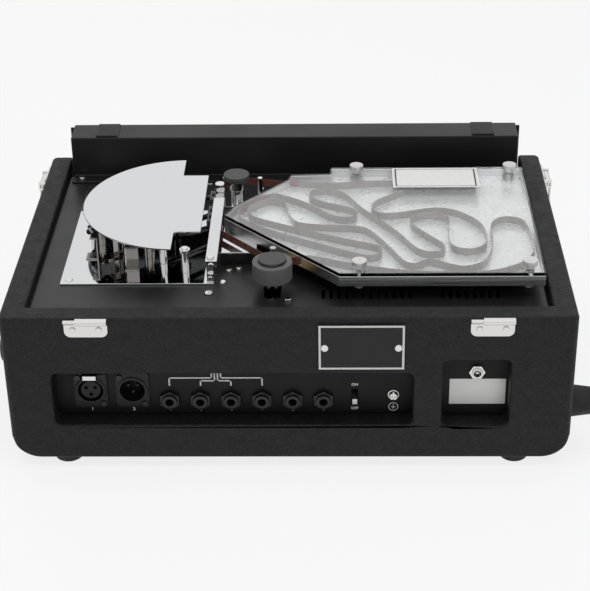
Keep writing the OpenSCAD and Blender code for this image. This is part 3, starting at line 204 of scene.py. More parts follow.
# ---------- materials ----------
# Outward directions of the tank's two slanting walls, and a corner of each
TANK_EDGES = (((0.757, -0.654), (54.0, 5.0)), ((0.725, 0.689), (54.0, 5.0)))


def edge_reach(normal, corner):
    """How far along the normal a wall stands, in metres: just inside and just outside."""
    reach = Vector((*normal, 0)).dot(at(*corner, 0))
    return reach - 2 * MM, reach + 1 * MM


def make_tolex():
    """Black grained cloth glued over the wooden case."""
    m = shader("tolex", (0.012, 0.012, 0.012), 0.55, specular=0.28)
    pebbles = cells(m, 1.7, smooth=0.3, warp=0.003)
    patches = noise(m, 9.0, 3.0)
    # The creases between the pebbles are darker than their tops: painted shade in the grain's hollows.
    feed(m, "Base Color", blend_colours(m, spread(m, pebbles, 0, 1, 0.1, 0.6),
                                        (0.016, 0.016, 0.0165), (0.006, 0.006, 0.006)))
    feed(m, "Roughness", spread(m, patches, 0.46, 0.62))
    creases = bump(m, noise(m, 3.4, 5.0, 0.6), 0.7, 0.5)
    bump(m, pebbles, -0.5, 0.85, creases)
    return m


def make_deck_paint():
    """Satin black anodised plate."""
    m = shader("deck_satin", (0.01, 0.01, 0.0105), 0.36, specular=0.4)
    feed(m, "Roughness", spread(m, noise(m, 40.0, 4.0), 0.32, 0.42))
    bump(m, noise(m, 0.5, 3.0), 0.02, 0.4)
    return m


def make_powder_coat():
    """Fine powder coating of the folded sheets."""
    m = shader("powder_coat", (0.008, 0.008, 0.008), 0.42, specular=0.35)
    grit = noise(m, 0.9, 3.0)
    feed(m, "Roughness", spread(m, noise(m, 60.0), 0.38, 0.48))
    bump(m, grit, 0.06, 0.35)
    return m


def make_socket_panel():
    m = shader("socket_panel_coat", (0.005, 0.005, 0.0055), 0.5, specular=0.25)
    feed(m, "Roughness", spread(m, noise(m, 25.0), 0.45, 0.56))
    bump(m, noise(m, 0.8, 3.0), 0.05, 0.3)
    return m


def make_mirror():
    """Mirror-polished steel, with the faint haze that handling leaves."""
    m = shader("mirror_steel", (0.66, 0.665, 0.675), 0.03, metal=1.0)
    feed(m, "Roughness", spread(m, noise(m, 30.0, 5.0), 0.015, 0.07))
    bump(m, noise(m, 45.0, 2.0), 0.03, 0.12)
    return m


def make_cover_mirror():
    """The head cover: polished mirror on top, with the faces that look down painted black as shade."""
    m = shader("cover_mirror", (0.66, 0.665, 0.675), 0.05, metal=1.0)
    facing = node(m, "ShaderNodeNewGeometry")
    parts = node(m, "ShaderNodeSeparateXYZ", {"Vector": facing.outputs["Normal"]})
    # Faces that look down get black base colour and no metal: painted shade under the cover.
    above = spread(m, parts.outputs["Z"], 0, 1, -0.5, -0.4)
    feed(m, "Base Color", blend_colours(m, above, (0.01, 0.01, 0.01), (0.66, 0.665, 0.675)))
    feed(m, "Metallic", above)
    feed(m, "Roughness", spread(m, noise(m, 30.0, 5.0), 0.03, 0.09))
    return m


def make_chrome():
    m = shader("chrome", (0.72, 0.715, 0.7), 0.07, metal=1.0)
    feed(m, "Roughness", spread(m, noise(m, 4.0, 4.0), 0.04, 0.14))
    return m


def make_dark_nickel():
    """Smoked nickel of the arms' brackets."""
    m = shader("dark_nickel", (0.3, 0.285, 0.265), 0.16, metal=1.0)
    feed(m, "Roughness", spread(m, noise(m, 5.0, 4.0), 0.1, 0.24))
    return m


def make_steel():
    """Plated steel with fine drawn lines."""
    m = shader("plated_steel", (0.5, 0.5, 0.5), 0.28, metal=1.0)
    lines = noise(m, 6.0, 5.0, 0.6, stretch=(1, 1, 14))
    feed(m, "Roughness", spread(m, lines, 0.2, 0.38))
    bump(m, lines, 0.02, 0.4)
    return m


def make_knurled():
    """Turned aluminium."""
    m = shader("turned_aluminium", (0.72, 0.715, 0.7), 0.42, metal=1.0)
    feed(m, "Roughness", spread(m, noise(m, 2.0, 4.0, stretch=(1, 1, 6)), 0.36, 0.52))
    return m


def make_tank_band():
    """The tank's folded side band, drawn along its length."""
    m = shader("tank_band", (0.62, 0.625, 0.63), 0.3, metal=1.0)
    lines = noise(m, 4.0, 5.0, 0.6, stretch=(0.05, 0.05, 6))
    feed(m, "Roughness", spread(m, lines, 0.24, 0.4))
    bump(m, lines, 0.01, 0.3)
    return m


def make_tank_floor():
    """The satin metal floor that the tape stands on."""
    m = shader("tank_floor", (0.6, 0.6, 0.595), 0.3, metal=0.6)
    patches = noise(m, 70.0, 3.0)
    feed(m, "Base Color", blend_colours(m, patches, (0.64, 0.64, 0.635), (0.56, 0.56, 0.555)))
    feed(m, "Roughness", spread(m, noise(m, 12.0), 0.24, 0.34))
    return m


def make_acrylic():
    """Clear acrylic plate: shadow rays pass, and the edges are a little blue."""
    m = shader("clear_acrylic", (0.975, 0.98, 0.985), 0.0)
    bsdf = principled(m)
    bsdf.inputs["Transmission Weight"].default_value = 1.0
    bsdf.inputs["IOR"].default_value = 1.49
    path = node(m, "ShaderNodeLightPath")
    clear = node(m, "ShaderNodeBsdfTransparent", {"Color": (0.94, 0.95, 0.955, 1)})
    either = node(m, "ShaderNodeMixShader", {
        0: path.outputs["Is Shadow Ray"], 1: bsdf.outputs["BSDF"], 2: clear.outputs["BSDF"]})
    output = m.node_tree.nodes["Material Output"]
    m.node_tree.links.new(either.outputs[0], output.inputs["Surface"])
    return m


def make_tape():
    """Oxide tape: red-brown where it is pulled along the heads, and grey inside the tank, where the
    grey is painted haze and reflection of the acrylic lid.
    """
    m = shader("oxide_tape", (0.1, 0.05, 0.04), 0.3, specular=0.6)
    brown = blend_colours(m, noise(m, 14.0), (0.15, 0.05, 0.038), (0.1, 0.04, 0.032))
    # Grey inside the tank's walls: painted haze and reflection of the acrylic lid over the tape.
    lid_haze_grey = blend_colours(m, noise(m, 22.0), (0.2, 0.185, 0.18), (0.15, 0.14, 0.137))
    sides = []
    for normal, corner in TANK_EDGES:
        place_on_tape = node(m, "ShaderNodeTexCoord").outputs["Object"]
        reach = node(m, "ShaderNodeVectorMath", {0: place_on_tape, 1: (*normal, 0.0)},
                     operation="DOT_PRODUCT")
        sides.append(spread(m, reach.outputs["Value"], 0, 1, *edge_reach(normal, corner)))
    outside = node(m, "ShaderNodeMath", {0: sides[0], 1: sides[1]}, operation="MAXIMUM")
    feed(m, "Base Color", blend_mixed(m, outside.outputs[0], lid_haze_grey, brown))
    feed(m, "Roughness", spread(m, noise(m, 5.0), 0.24, 0.36))
    return m


def make_grey_rubber():
    m = shader("grey_rubber", (0.13, 0.13, 0.13), 0.62, specular=0.35)
    feed(m, "Base Color", blend_colours(m, noise(m, 3.0), (0.15, 0.15, 0.15), (0.11, 0.11, 0.11)))
    feed(m, "Roughness", spread(m, noise(m, 6.0), 0.5, 0.7))
    bump(m, noise(m, 0.35, 2.0), 0.03, 0.6)
    return m


def make_black_rubber():
    m = shader("black_rubber", (0.014, 0.014, 0.014), 0.6, specular=0.35)
    feed(m, "Roughness", spread(m, noise(m, 8.0), 0.5, 0.72))
    bump(m, noise(m, 0.5, 2.0), 0.04, 0.5)
    return m


def make_knob_rubber():
    """The dimpled dark cap of the guide roller."""
    m = shader("dimpled_rubber", (0.05, 0.05, 0.05), 0.5, specular=0.4)
    dimples = cells(m, 1.3, smooth=0.1)
    # The dimples are darker than the rims between them: painted shade in the hollows.
    feed(m, "Base Color", blend_colours(m, spread(m, dimples, 0, 1, 0.1, 0.5),
                                        (0.03, 0.03, 0.03), (0.075, 0.075, 0.075)))
    bump(m, dimples, 0.25, 0.7)
    return m


def make_gloss_black():
    m = shader("gloss_black", (0.01, 0.01, 0.011), 0.12, specular=0.55)
    feed(m, "Roughness", spread(m, noise(m, 20.0), 0.08, 0.2))
    bump(m, noise(m, 2.5, 2.0), 0.01, 0.3)
    return m


def make_moulded_black():
    """Moulded plastic of the jacks and knobs."""
    m = shader("moulded_black", (0.011, 0.011, 0.011), 0.3, specular=0.5)
    feed(m, "Roughness", spread(m, noise(m, 5.0), 0.28, 0.45))
    bump(m, noise(m, 0.4, 2.0), 0.015, 0.4)
    return m


def make_die_cast():
    m = shader("black_die_casting", (0.007, 0.007, 0.007), 0.36, specular=0.35)
    feed(m, "Roughness", spread(m, noise(m, 4.0), 0.32, 0.5))
    bump(m, noise(m, 0.7, 3.0), 0.04, 0.4)
    return m


def make_head_metal():
    m = shader("ground_metal", (0.42, 0.41, 0.4), 0.25, metal=1.0)
    lines = noise(m, 2.0, 4.0, 0.6, stretch=(1, 1, 20))
    feed(m, "Roughness", spread(m, lines, 0.16, 0.36))
    bump(m, lines, 0.01, 0.5)
    return m


def make_brass():
    m = shader("turned_brass", (0.65, 0.45, 0.16), 0.25, metal=1.0)
    feed(m, "Roughness", spread(m, noise(m, 2.0, stretch=(1, 1, 8)), 0.2, 0.36))
    return m


def make_motor_paint():
    m = shader("motor_paint", (0.12, 0.12, 0.13), 0.4, specular=0.45)
    feed(m, "Roughness", spread(m, noise(m, 10.0), 0.34, 0.5))
    bump(m, noise(m, 1.2, 3.0), 0.04, 0.3)
    return m


def make_board():
    m = shader("circuit_board", (0.01, 0.07, 0.025), 0.25, specular=0.5)
    traces = noise(m, 5.0, 2.0, 0.4, stretch=(1, 6, 1))
    feed(m, "Base Color", blend_colours(m, spread(m, traces, 0, 1, 0.48, 0.54),
                                        (0.008, 0.06, 0.02), (0.02, 0.12, 0.04)))
    return m


def make_felt():
    m = shader("black_felt", (0.012, 0.012, 0.012), 0.95, specular=0.2)
    principled(m).inputs["Sheen Weight"].default_value = 0.35
    principled(m).inputs["Sheen Roughness"].default_value = 0.5
    bump(m, noise(m, 0.35, 5.0, 0.7), 0.15, 0.8)
    return m


def make_strap():
    """Moulded strap with a leather grain."""
    m = shader("strap_grain", (0.017, 0.016, 0.016), 0.5, specular=0.4)
    grain = cells(m, 0.9, smooth=0.5, warp=0.0015)
    feed(m, "Roughness", spread(m, noise(m, 12.0), 0.42, 0.6))
    bump(m, grain, -0.15, 0.6)
    return m


def make_paint(name, colour, rough=0.5):
    m = shader(name, colour, rough, specular=0.4)
    darker = tuple(c * 0.88 for c in colour)
    feed(m, "Base Color", blend_colours(m, noise(m, 4.0), colour, darker))
    feed(m, "Roughness", spread(m, noise(m, 3.0), rough - 0.06, rough + 0.06))
    return m


def make_bare_label():
    """Silver foil of the blank rating plate."""
    m = shader("silver_foil", (0.72, 0.72, 0.71), 0.42, metal=0.35, specular=0.5)
    feed(m, "Roughness", spread(m, noise(m, 8.0), 0.36, 0.5))
    bump(m, noise(m, 0.6, 2.0), 0.01, 0.3)
    return m


def make_meter_glass():
    m = shader("meter_glass", (0.98, 0.98, 0.97), 0.02, specular=0.5)
    principled(m).inputs["Transmission Weight"].default_value = 1.0
    feed(m, "Roughness", spread(m, noise(m, 30.0), 0.0, 0.03))
    return m


def make_meter_face():
    """Warm dial card of the level meter."""
    m = shader("meter_card", (0.8, 0.72, 0.5), 0.6, specular=0.3)
    feed(m, "Base Color", blend_colours(m, noise(m, 25.0, 3.0), (0.84, 0.76, 0.54), (0.76, 0.67, 0.45)))
    return m


MATERIALS = {
    "tolex": make_tolex(), "deck": make_deck_paint(), "powder": make_powder_coat(),
    "socket_panel": make_socket_panel(), "mirror": make_mirror(), "cover": make_cover_mirror(),
    "chrome": make_chrome(), "dark_nickel": make_dark_nickel(), "steel": make_steel(),
    "turned": make_knurled(),
    "tank_band": make_tank_band(), "tank_floor": make_tank_floor(), "acrylic": make_acrylic(),
    "tape": make_tape(), "grey_rubber": make_grey_rubber(), "rubber": make_black_rubber(),
    "dimpled": make_knob_rubber(), "gloss": make_gloss_black(), "moulded": make_moulded_black(),
    "die_cast": make_die_cast(), "head": make_head_metal(), "brass": make_brass(),
    "motor": make_motor_paint(), "board": make_board(), "felt": make_felt(), "strap": make_strap(),
    "white": make_paint("white_print", (0.78, 0.78, 0.77)),
    "ink": make_paint("black_ink", (0.02, 0.02, 0.02)),
    "red": make_paint("red_paint", (0.5, 0.04, 0.025)),
    "foil": make_bare_label(), "card": make_paint("white_card", (0.86, 0.86, 0.85), 0.4),
    "meter_glass": make_meter_glass(), "meter_face": make_meter_face(),
}


# ---------- mesh tools ----------
WELD = 2e-6
FLAT_LIMIT = math.radians(0.6)
EDGE_LIMIT = math.radians(32)
SMOOTH_LIMIT = math.radians(40)


def outline_groups(edges):
    """Chains of edges that share corners."""
    waiting = set(edges)
    groups = []
    while waiting:
        chain = [waiting.pop()]
        for edge in chain:
            for vert in edge.verts:
                for other in vert.link_edges:
                    if other in waiting:
                        waiting.discard(other)
                        chain.append(other)
        groups.append(chain)
    return groups


def span(edges):
    points = [v.co for e in edges for v in e.verts]
    sizes = [max(p[i] for p in points) - min(p[i] for p in points) for i in range(3)]
    return max(sizes)


def finish_mesh(mesh):
    for face in mesh.polygons:
        face.use_smooth = True
    mesh.set_sharp_from_angle(angle=SMOOTH_LIMIT)


def add_object(name, mesh, body, materials):
    made = bpy.data.objects.new(name, mesh)
    bpy.context.scene.collection.objects.link(made)
    for key in materials:
        mesh.materials.append(MATERIALS[key])
    weighted = made.modifiers.new("weighted", "WEIGHTED_NORMAL")
    weighted.keep_sharp = True
    if body:
        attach(made, body)
    return made


def soften(name, width_mm, materials, segments=2, choose=None, least_span=None):
    """A CAD node with its edges rounded, which stands for it. choose gives a face's material."""
    source = frame["nodes"][name]
    bm = bmesh.new()
    bm.from_mesh(source.data)
    bmesh.ops.remove_doubles(bm, verts=bm.verts, dist=WELD)
    bmesh.ops.dissolve_limit(bm, angle_limit=FLAT_LIMIT, verts=bm.verts, edges=bm.edges)
    sharp = [e for e in bm.edges if len(e.link_faces) == 2 and e.calc_face_angle(0) > EDGE_LIMIT]
    least = (least_span if least_span else width_mm * 4) * MM
    kept = [e for group in outline_groups(sharp) if span(group) >= least for e in group]
    bmesh.ops.bevel(bm, geom=kept, offset=width_mm * MM, segments=segments, profile=0.5,
                    affect="EDGES", clamp_overlap=False, loop_slide=True)
    if choose:
        for face in bm.faces:
            centre = local(face.calc_center_median())
            face.material_index = choose(centre, face.normal)
    mesh = bpy.data.meshes.new(name + "_finished")
    bm.to_mesh(mesh)
    bm.free()
    finish_mesh(mesh)
    made = add_object(name + "_finished", mesh, source["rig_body"], materials)
    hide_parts(name)
    return made


def dress(name, *materials):
    """A CAD node kept as it is, with its material."""
    mesh_object = frame["nodes"][name]
    mesh_object.data.materials.clear()
    for key in materials:
        mesh_object.data.materials.append(MATERIALS[key])
    return mesh_object


def piece(name, bm, body, materials):
    """A new piece from a finished bmesh in row-frame metres."""
    mesh = bpy.data.meshes.new(name)
    bmesh.ops.recalc_face_normals(bm, faces=bm.faces)
    bm.to_mesh(mesh)
    bm.free()
    finish_mesh(mesh)
    return add_object(name, mesh, body, materials)


def add_faces(bm, rings, cap_ends=True):
    """Quads between rings of corners, with a cap at each end."""
    count = len(rings[0])
    for lower, upper in zip(rings, rings[1:]):
        for i in range(count):
            j = (i + 1) % count
            bm.faces.new((lower[i], lower[j], upper[j], upper[i]))
    if cap_ends:
        for ring in (rings[0][::-1], rings[-1]):
            bm.faces.new(ring)


def add_block(bm, low, high, bevel_mm=0.0):
    """A box between two corners of the case's millimetres."""
    low, high = at(*low), at(*high)
    made = bmesh.ops.create_cube(bm, size=1.0)
    for vert in made["verts"]:
        for i in range(3):
            vert.co[i] = low[i] if vert.co[i] < 0 else high[i]
    if bevel_mm:
        edges = {e for v in made["verts"] for e in v.link_edges}
        bmesh.ops.bevel(bm, geom=list(edges), offset=bevel_mm * MM, segments=2, profile=0.5,
                        affect="EDGES", clamp_overlap=True)


def add_turned(bm, centre, profile, sides, flute_mm, flutes):
    """A turned solid: profile holds radius and height in millimetres, from one end to the other."""
    # Tracking the upright axis starts each ring half a turn round
    turn = Vector((0, 0, 1)).to_track_quat("Z", "Y").to_matrix()
    base = at(*centre)
    rings = []
    for k, (radius, height) in enumerate(profile):
        ring = []
        for i in range(sides):
            angle = math.tau * i / sides
            r = radius
            if flutes[0] <= k <= flutes[1]:
                r -= flute_mm * (i % 2)
            offset = Vector((r * math.cos(angle), r * math.sin(angle), height)) * MM
            ring.append(bm.verts.new(base + turn @ offset))
        rings.append(ring)
    add_faces(bm, rings)


def add_tube(bm, points, radius_mm, sides):
    """A round wire along points of the case's millimetres."""
    path = [at(*p) for p in points]
    rings = []
    side = None
    for i, point in enumerate(path):
        ahead = (path[min(i + 1, len(path) - 1)] - path[max(i - 1, 0)]).normalized()
        if side is None:
            side = ahead.orthogonal().normalized()
        side = (side - ahead * side.dot(ahead)).normalized()
        other = ahead.cross(side)
        rings.append([
            bm.verts.new(point + radius_mm * MM * (math.cos(a) * side + math.sin(a) * other))
            for a in (math.tau * k / sides for k in range(sides))])
    add_faces(bm, rings)


COIL_STEPS = 12


def coil_points(start, end, radius_mm, turns, hook_mm):
    """A tension spring's line between two points: a hook's run, its turns and another hook's run."""
    start, end = Vector(start), Vector(end)
    along = (end - start).normalized()
    side = along.orthogonal().normalized()
    other = along.cross(side)
    body = (end - start).length - 2 * hook_mm
    points = [start]
    for i in range(turns * COIL_STEPS + 1):
        angle = math.tau * i / COIL_STEPS
        height = hook_mm + body * i / (turns * COIL_STEPS)
        around = math.cos(angle) * side + math.sin(angle) * other
        points.append(start + along * height + radius_mm * around)
    points.append(end)
    return [tuple(p) for p in points]


# ---------- flat marks on an upright face ----------
MARK_T = 0.06


def add_bar_mark(bm, x0, x1, z0, z1, face_y, toward=1):
    """A thin printed bar on a face that looks along +Y (toward 1) or -Y (toward -1)."""
    ys = sorted((face_y, face_y + toward * MARK_T))
    add_block(bm, (min(x0, x1), ys[0], min(z0, z1)), (max(x0, x1), ys[1], max(z0, z1)))


def add_line_mark(bm, points, width, face_y):
    """A printed line of upright and level runs through its points."""
    h = width / 2
    for (x0, z0), (x1, z1) in zip(points, points[1:]):
        if abs(x0 - x1) < 1e-6 or abs(z0 - z1) < 1e-6:
            add_bar_mark(bm, min(x0, x1) - h, max(x0, x1) + h, min(z0, z1) - h, max(z0, z1) + h,
                         face_y)


LETTER_T = 0.05


def add_text(bm, words, size_mm, centre, facing="+Y", bold_mm=0.0):
    """Plain lettering or numbers, centred on a point of the case's millimetres."""
    curve = bpy.data.curves.new("lettering", "FONT")
    curve.body = words
    curve.size = size_mm * MM
    curve.extrude = LETTER_T * MM / 2
    curve.offset = bold_mm * MM
    curve.align_x = "CENTER"
    curve.align_y = "CENTER"
    temporary = bpy.data.objects.new("lettering", curve)
    bpy.context.scene.collection.objects.link(temporary)
    bpy.context.view_layer.update()
    mesh = bpy.data.meshes.new_from_object(temporary)
    bpy.data.objects.remove(temporary)
    turns = {
        "+Y": Matrix.Rotation(math.pi, 4, "Z") @ Matrix.Rotation(math.pi / 2, 4, "X"),
        "-Y": Matrix.Rotation(math.pi / 2, 4, "X"),
    }
    mesh.transform(Matrix.Translation(at(*centre)) @ turns[facing])
    bm.from_mesh(mesh)
    bpy.data.meshes.remove(mesh)


# ---------- the case and its fittings ----------
def finish_case():
    soften("case_body", 2.2, ["tolex"], segments=3, least_span=20)
    soften("rubber_feet", 1.2, ["rubber"], segments=3)
    soften("wood_screws", 0.25, ["chrome"], least_span=1)
    soften("hinge_leaves", 0.3, ["chrome"], least_span=1.5)
    soften("handle_caps", 1.4, ["gloss"], segments=3)
    soften("handle_strap", 1.6, ["strap"], segments=3)
    soften("latch_bases", 0.4, ["chrome"])
    soften("latch_lever_left", 0.6, ["chrome"])
    soften("latch_lever_right", 0.6, ["chrome"])


def finish_sockets():
    soften("socket_panels", 0.3, ["socket_panel"])
    soften("xlr_female", 0.4, ["die_cast"])
    soften("xlr_release_tab", 0.4, ["chrome"])
    xlr_low, xlr_high = local_box("xlr_male")
    xlr_x = (xlr_low.x + xlr_high.x) / 2
    pin_reach = 6.2

    def pins(centre, normal):
        deep = centre.y < xlr_high.y - 3
        near = abs(centre.x - xlr_x) < pin_reach and abs(centre.z - 60) < pin_reach
        return 1 if deep and near and abs(normal.y) < 0.9 else 0

    soften("xlr_male", 0.25, ["die_cast", "chrome"], choose=pins)
    soften("phone_jacks", 0.3, ["moulded"])
    dress("slide_switch", "felt")
    soften("slide_switch_lever", 0.4, ["turned"])
    soften("earth_terminal", 0.25, ["chrome"], least_span=1)
    soften("dc_inlet", 0.3, ["chrome"], least_span=1)
    soften("name_plate", 0.3, ["powder"])


# The back sockets' black screws lie past this level
PLATE_SCREW_Y = 110
# Depths below a node's top at which its finish changes
BLOCK_PLATE = 1.6
ROLLER_CAP = 4.9
PINCH_CAP = 2.35
TANK_FLOOR_T = 2.6


def finish_deck():
    soften("deck_plate", 0.35, ["deck"], segments=1)
    sockets_x = local_box("xlr_male")[0].x
    soften("machine_screws", 0.2, ["chrome", "moulded"], least_span=1,
           choose=lambda c, n: 1 if c.y > PLATE_SCREW_Y and c.x > sockets_x else 0)
    soften("base_plates", 0.25, ["mirror"])
    soften("head_cover", 0.35, ["cover"], segments=2)
    soften("cover_posts", 0.3, ["chrome"])
    soften("arm_supports", 0.2, ["dark_nickel"], least_span=1)
    soften("tape_heads", 0.3, ["head"])
    soften("guide_posts", 0.25, ["chrome"], least_span=1)
    soften("head_shield", 0.3, ["mirror"])
    block_top = local_box("guide_block")[1].z
    soften("guide_block", 0.3, ["powder", "mirror"],
           choose=lambda c, n: 1 if c.z > block_top - BLOCK_PLATE else 0)
    # The pad arms are coloured gloss black as painted shade, so that they stay dark under the head
    # cover.
    soften("pad_arm_record", 0.25, ["gloss"])
    soften("pad_arm_playback", 0.25, ["gloss"])


def finish_tank():
    floor_top = local_box("tank_tray")[0].z + TANK_FLOOR_T

    def floor_or_band(centre, normal):
        return 1 if normal.z > 0.9 and centre.z < floor_top else 0

    soften("tank_tray", 0.3, ["tank_band", "tank_floor"], choose=floor_or_band)
    soften("tank_lid", 0.35, ["acrylic"], segments=1)
    dress("tape_loop", "tape")


def finish_drive():
    knob_low = local_box("guide_roller")[1].z - ROLLER_CAP
    soften("guide_roller", 0.5, ["chrome", "dimpled"],
           choose=lambda c, n: 1 if c.z > knob_low else 0)
    soften("capstan", 0.3, ["steel"])
    soften("capstan_bearing", 0.3, ["brass"])
    rubber_top = local_box("pinch_roller")[1].z - PINCH_CAP
    soften("pinch_roller", 0.6, ["grey_rubber", "gloss"],
           choose=lambda c, n: 1 if c.z > rubber_top else 0)
    soften("pinch_arm", 0.4, ["chrome"])
    soften("motor", 0.8, ["motor"])
    soften("motor_pulley", 0.2, ["brass"])
    soften("drive_belt", 0.2, ["rubber"])
    soften("reverb_tank", 0.5, ["steel"])
    soften("circuit_board", 0.2, ["board"])


def finish_controls():
    soften("control_housing", 0.9, ["powder"], segments=3, least_span=12)
    soften("front_panel", 0.3, ["powder"])
    soften("housing_pads", 0.5, ["felt"])
    soften("vu_meter", 0.6, ["gloss"])
    dress("vu_needle", "red")
    soften("control_pots", 0.3, ["steel"])
    soften("power_toggle", 0.2, ["chrome"])
    for name in frame["nodes"]:
        if name.endswith("_knob"):
            soften(name, 0.5, ["moulded"], least_span=4)


# ---------- printed marks at the back ----------
SOCKET_FACE_Y = 123.5
LINE = 1.1


# Lines that join four jacks: heights of their ends, turns and top, and each line's jack and rise
LINE_LOW = 63.4
LINE_TOP = 75.5
JOINING_LINES = ((92.3, 69.9, 59.7), (21.0, 69.9, 52.7), (68.3, 67.3, 57.4), (45.0, 67.3, 55.0))
JACK_X0 = 92.5
JACK_PITCH = 23.7
JACK_NUMBER_Z = 40.6
PLUG_SOCKET_X = (153, 120.8)
PLUG_NUMBER_Z = 41.6
SWITCH_X = -50.1
ON_Z = 63.6
OFF_Z = 42.0
EARTH_SIGN_AT = (-79.8, 43.4)


def add_back_marks():
    """Lines and plain numbers of the sockets, the switch's ON and OFF, and the earth sign."""
    bm = bmesh.new()
    y = SOCKET_FACE_Y
    for jack_x, turn_z, rise_x in JOINING_LINES:
        add_line_mark(bm, [(jack_x, LINE_LOW), (jack_x, turn_z), (rise_x, turn_z), (rise_x, LINE_TOP)],
                      LINE, y)
    piece("socket_lines", bm, "unit", ["white"])
    bm = bmesh.new()
    for i in range(6):
        add_text(bm, str(i + 1), 2.4, (JACK_X0 - JACK_PITCH * i, y, JACK_NUMBER_Z), bold_mm=0.05)
    for i, x in enumerate(PLUG_SOCKET_X):
        add_text(bm, str(i + 1), 3.6, (x, y, PLUG_NUMBER_Z), bold_mm=0.12)
    add_text(bm, "ON", 3.2, (SWITCH_X, y, ON_Z), bold_mm=0.1)
    add_text(bm, "OFF", 3.2, (SWITCH_X, y, OFF_Z), bold_mm=0.1)
    piece("socket_numbers", bm, "unit", ["white"])
    add_earth_mark(*EARTH_SIGN_AT, y)


RING_SIDES = 36


def add_ring_mark(bm, x, z, outer, inner, y):
    rings = []
    for radius, depth in ((outer, 0), (outer, MARK_T), (inner, MARK_T), (inner, 0)):
        rings.append([bm.verts.new(at(x + radius * math.cos(a), y + depth, z + radius * math.sin(a)))
                      for a in (math.tau * k / RING_SIDES for k in range(RING_SIDES))])
    add_faces(bm, rings + [rings[0]], cap_ends=False)


def add_earth_mark(x, z, y):
    """The plain earth sign: a ring, a stem and three bars."""
    bm = bmesh.new()
    add_ring_mark(bm, x, z, 3.8, 3.25, y)
    add_bar_mark(bm, x - 0.25, x + 0.25, z, z + 2.2, y)
    for k, half in enumerate((1.7, 1.1, 0.5)):
        add_bar_mark(bm, x - half, x + half, z - k * 0.8 - 0.2, z - k * 0.8 + 0.2, y)
    piece("earth_sign", bm, "unit", ["white"])


def add_plates():
    """White frame of the bare name plate, the blank rating plate and the blank card on the lid."""
    low, high = local_box("name_plate")
    bm = bmesh.new()
    w = 1.6
    y = high.y
    for x0, x1, z0, z1 in (
            (low.x + 0.5, low.x + 0.5 + w, low.z + 0.5, high.z - 0.5),
            (high.x - 0.5 - w, high.x - 0.5, low.z + 0.5, high.z - 0.5),
            (low.x + 0.5 + w, high.x - 0.5 - w, low.z + 0.5, low.z + 0.5 + w),
            (low.x + 0.5 + w, high.x - 0.5 - w, high.z - 0.5 - w, high.z - 0.5)):
        add_bar_mark(bm, x0, x1, z0, z1, y)
    piece("name_plate_frame", bm, "unit", ["white"])
    bm = bmesh.new()
    add_block(bm, (-165.5, SOCKET_FACE_Y, 46.0), (-122.5, SOCKET_FACE_Y + 0.25, 68.8), bevel_mm=0.1)
    piece("rating_plate", bm, "unit", ["foil"])
    top = local_box("tank_lid")[1].z
    x0, x1, y0, y1 = -155.2, -83.5, -80.5, -43.5
    bm = bmesh.new()
    add_block(bm, (x0, y0, top), (x1, y1, top + 0.12))
    piece("lid_card", bm, "unit", ["card"])
    bm = bmesh.new()
    inset, line = 2.2, 1.2
    z0, z1 = top + 0.12, top + 0.16
    bx0, bx1, by0, by1 = x0 + inset, x1 - inset, y0 + inset, y1 - inset
    add_block(bm, (bx0, by0, z0), (bx0 + line, by1, z1))
    add_block(bm, (bx1 - line, by0, z0), (bx1, by1, z1))
    add_block(bm, (bx0 + line, by0, z0), (bx1 - line, by0 + line * 0.5, z1))
    add_block(bm, (bx0 + line, by1 - line * 0.5, z0), (bx1 - line, by1, z1))
    piece("lid_card_border", bm, "unit", ["ink"])


# ---------- thumb screws ----------
THUMB_AT = ((-53.5, -73.0), (-182.0, -73.0), (-53.5, 94.5), (-182.0, 94.5))


def add_thumb_screws():
    """Turned screws with a knurled head above a waisted neck, which stand for the plain ones."""
    low, high = local_box("thumb_screws")
    lid_top = local_box("tank_lid")[1].z
    top = high.z
    nut_low = low.z + 1
    bm = bmesh.new()
    for x, y in THUMB_AT:
        add_turned(bm, (x, y, 0), [
            (2.0, low.z), (2.0, nut_low), (3.7, nut_low), (3.75, nut_low + 0.3), (3.75, nut_low + 3.9),
            (3.4, nut_low + 4.2), (2.0, nut_low + 4.2), (2.0, lid_top), (3.6, lid_top),
            (3.7, lid_top + 0.3),
            (3.6, lid_top + 1.6), (3.3, lid_top + 1.9), (3.3, lid_top + 2.2), (5.0, lid_top + 2.5),
            (5.55, lid_top + 2.7), (5.75, lid_top + 3.0), (5.75, top - 0.5), (5.5, top - 0.1),
            (4.9, top),
            (3.2, top), (3.0, top - 0.15)],
            sides=96, flute_mm=0.22, flutes=(15, 16))
    made = piece("thumb_screws_turned", bm, "unit", ["turned"])
    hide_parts("thumb_screws")


# ---------- springs and small parts of the transport ----------
# Each pad arm's tail pin, the bracket that its spring hooks on, and the arm's body
ARM_SPRINGS = {
    "record_arm_spring": ((161.0, 20.6), (152.6, 37.0), "pad_arm_record"),
    "playback_arm_spring": ((120.6, 45.4), (124.0, 51.6), "pad_arm_playback"),
}
SPRING_Z = (146.9, 145.6)


def add_springs():
    """Return springs of the pad arms, each made once between its arm's tail pin and its bracket."""
    for name, (pin, bracket, body) in ARM_SPRINGS.items():
        bm = bmesh.new()
        start, end = (*pin, SPRING_Z[0]), (*bracket, SPRING_Z[1])
        length = (Vector(end) - Vector(start)).length
        turns = max(4, round((length - 5) / 0.75))
        add_tube(bm, coil_points(start, end, 1.3, turns, hook_mm=2.2), 0.26, sides=6)
        spring = piece(name, bm, None, ["steel"])
        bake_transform(spring)


# ---------- the level meter and the panel's scales ----------
PANEL_Y = -139.3


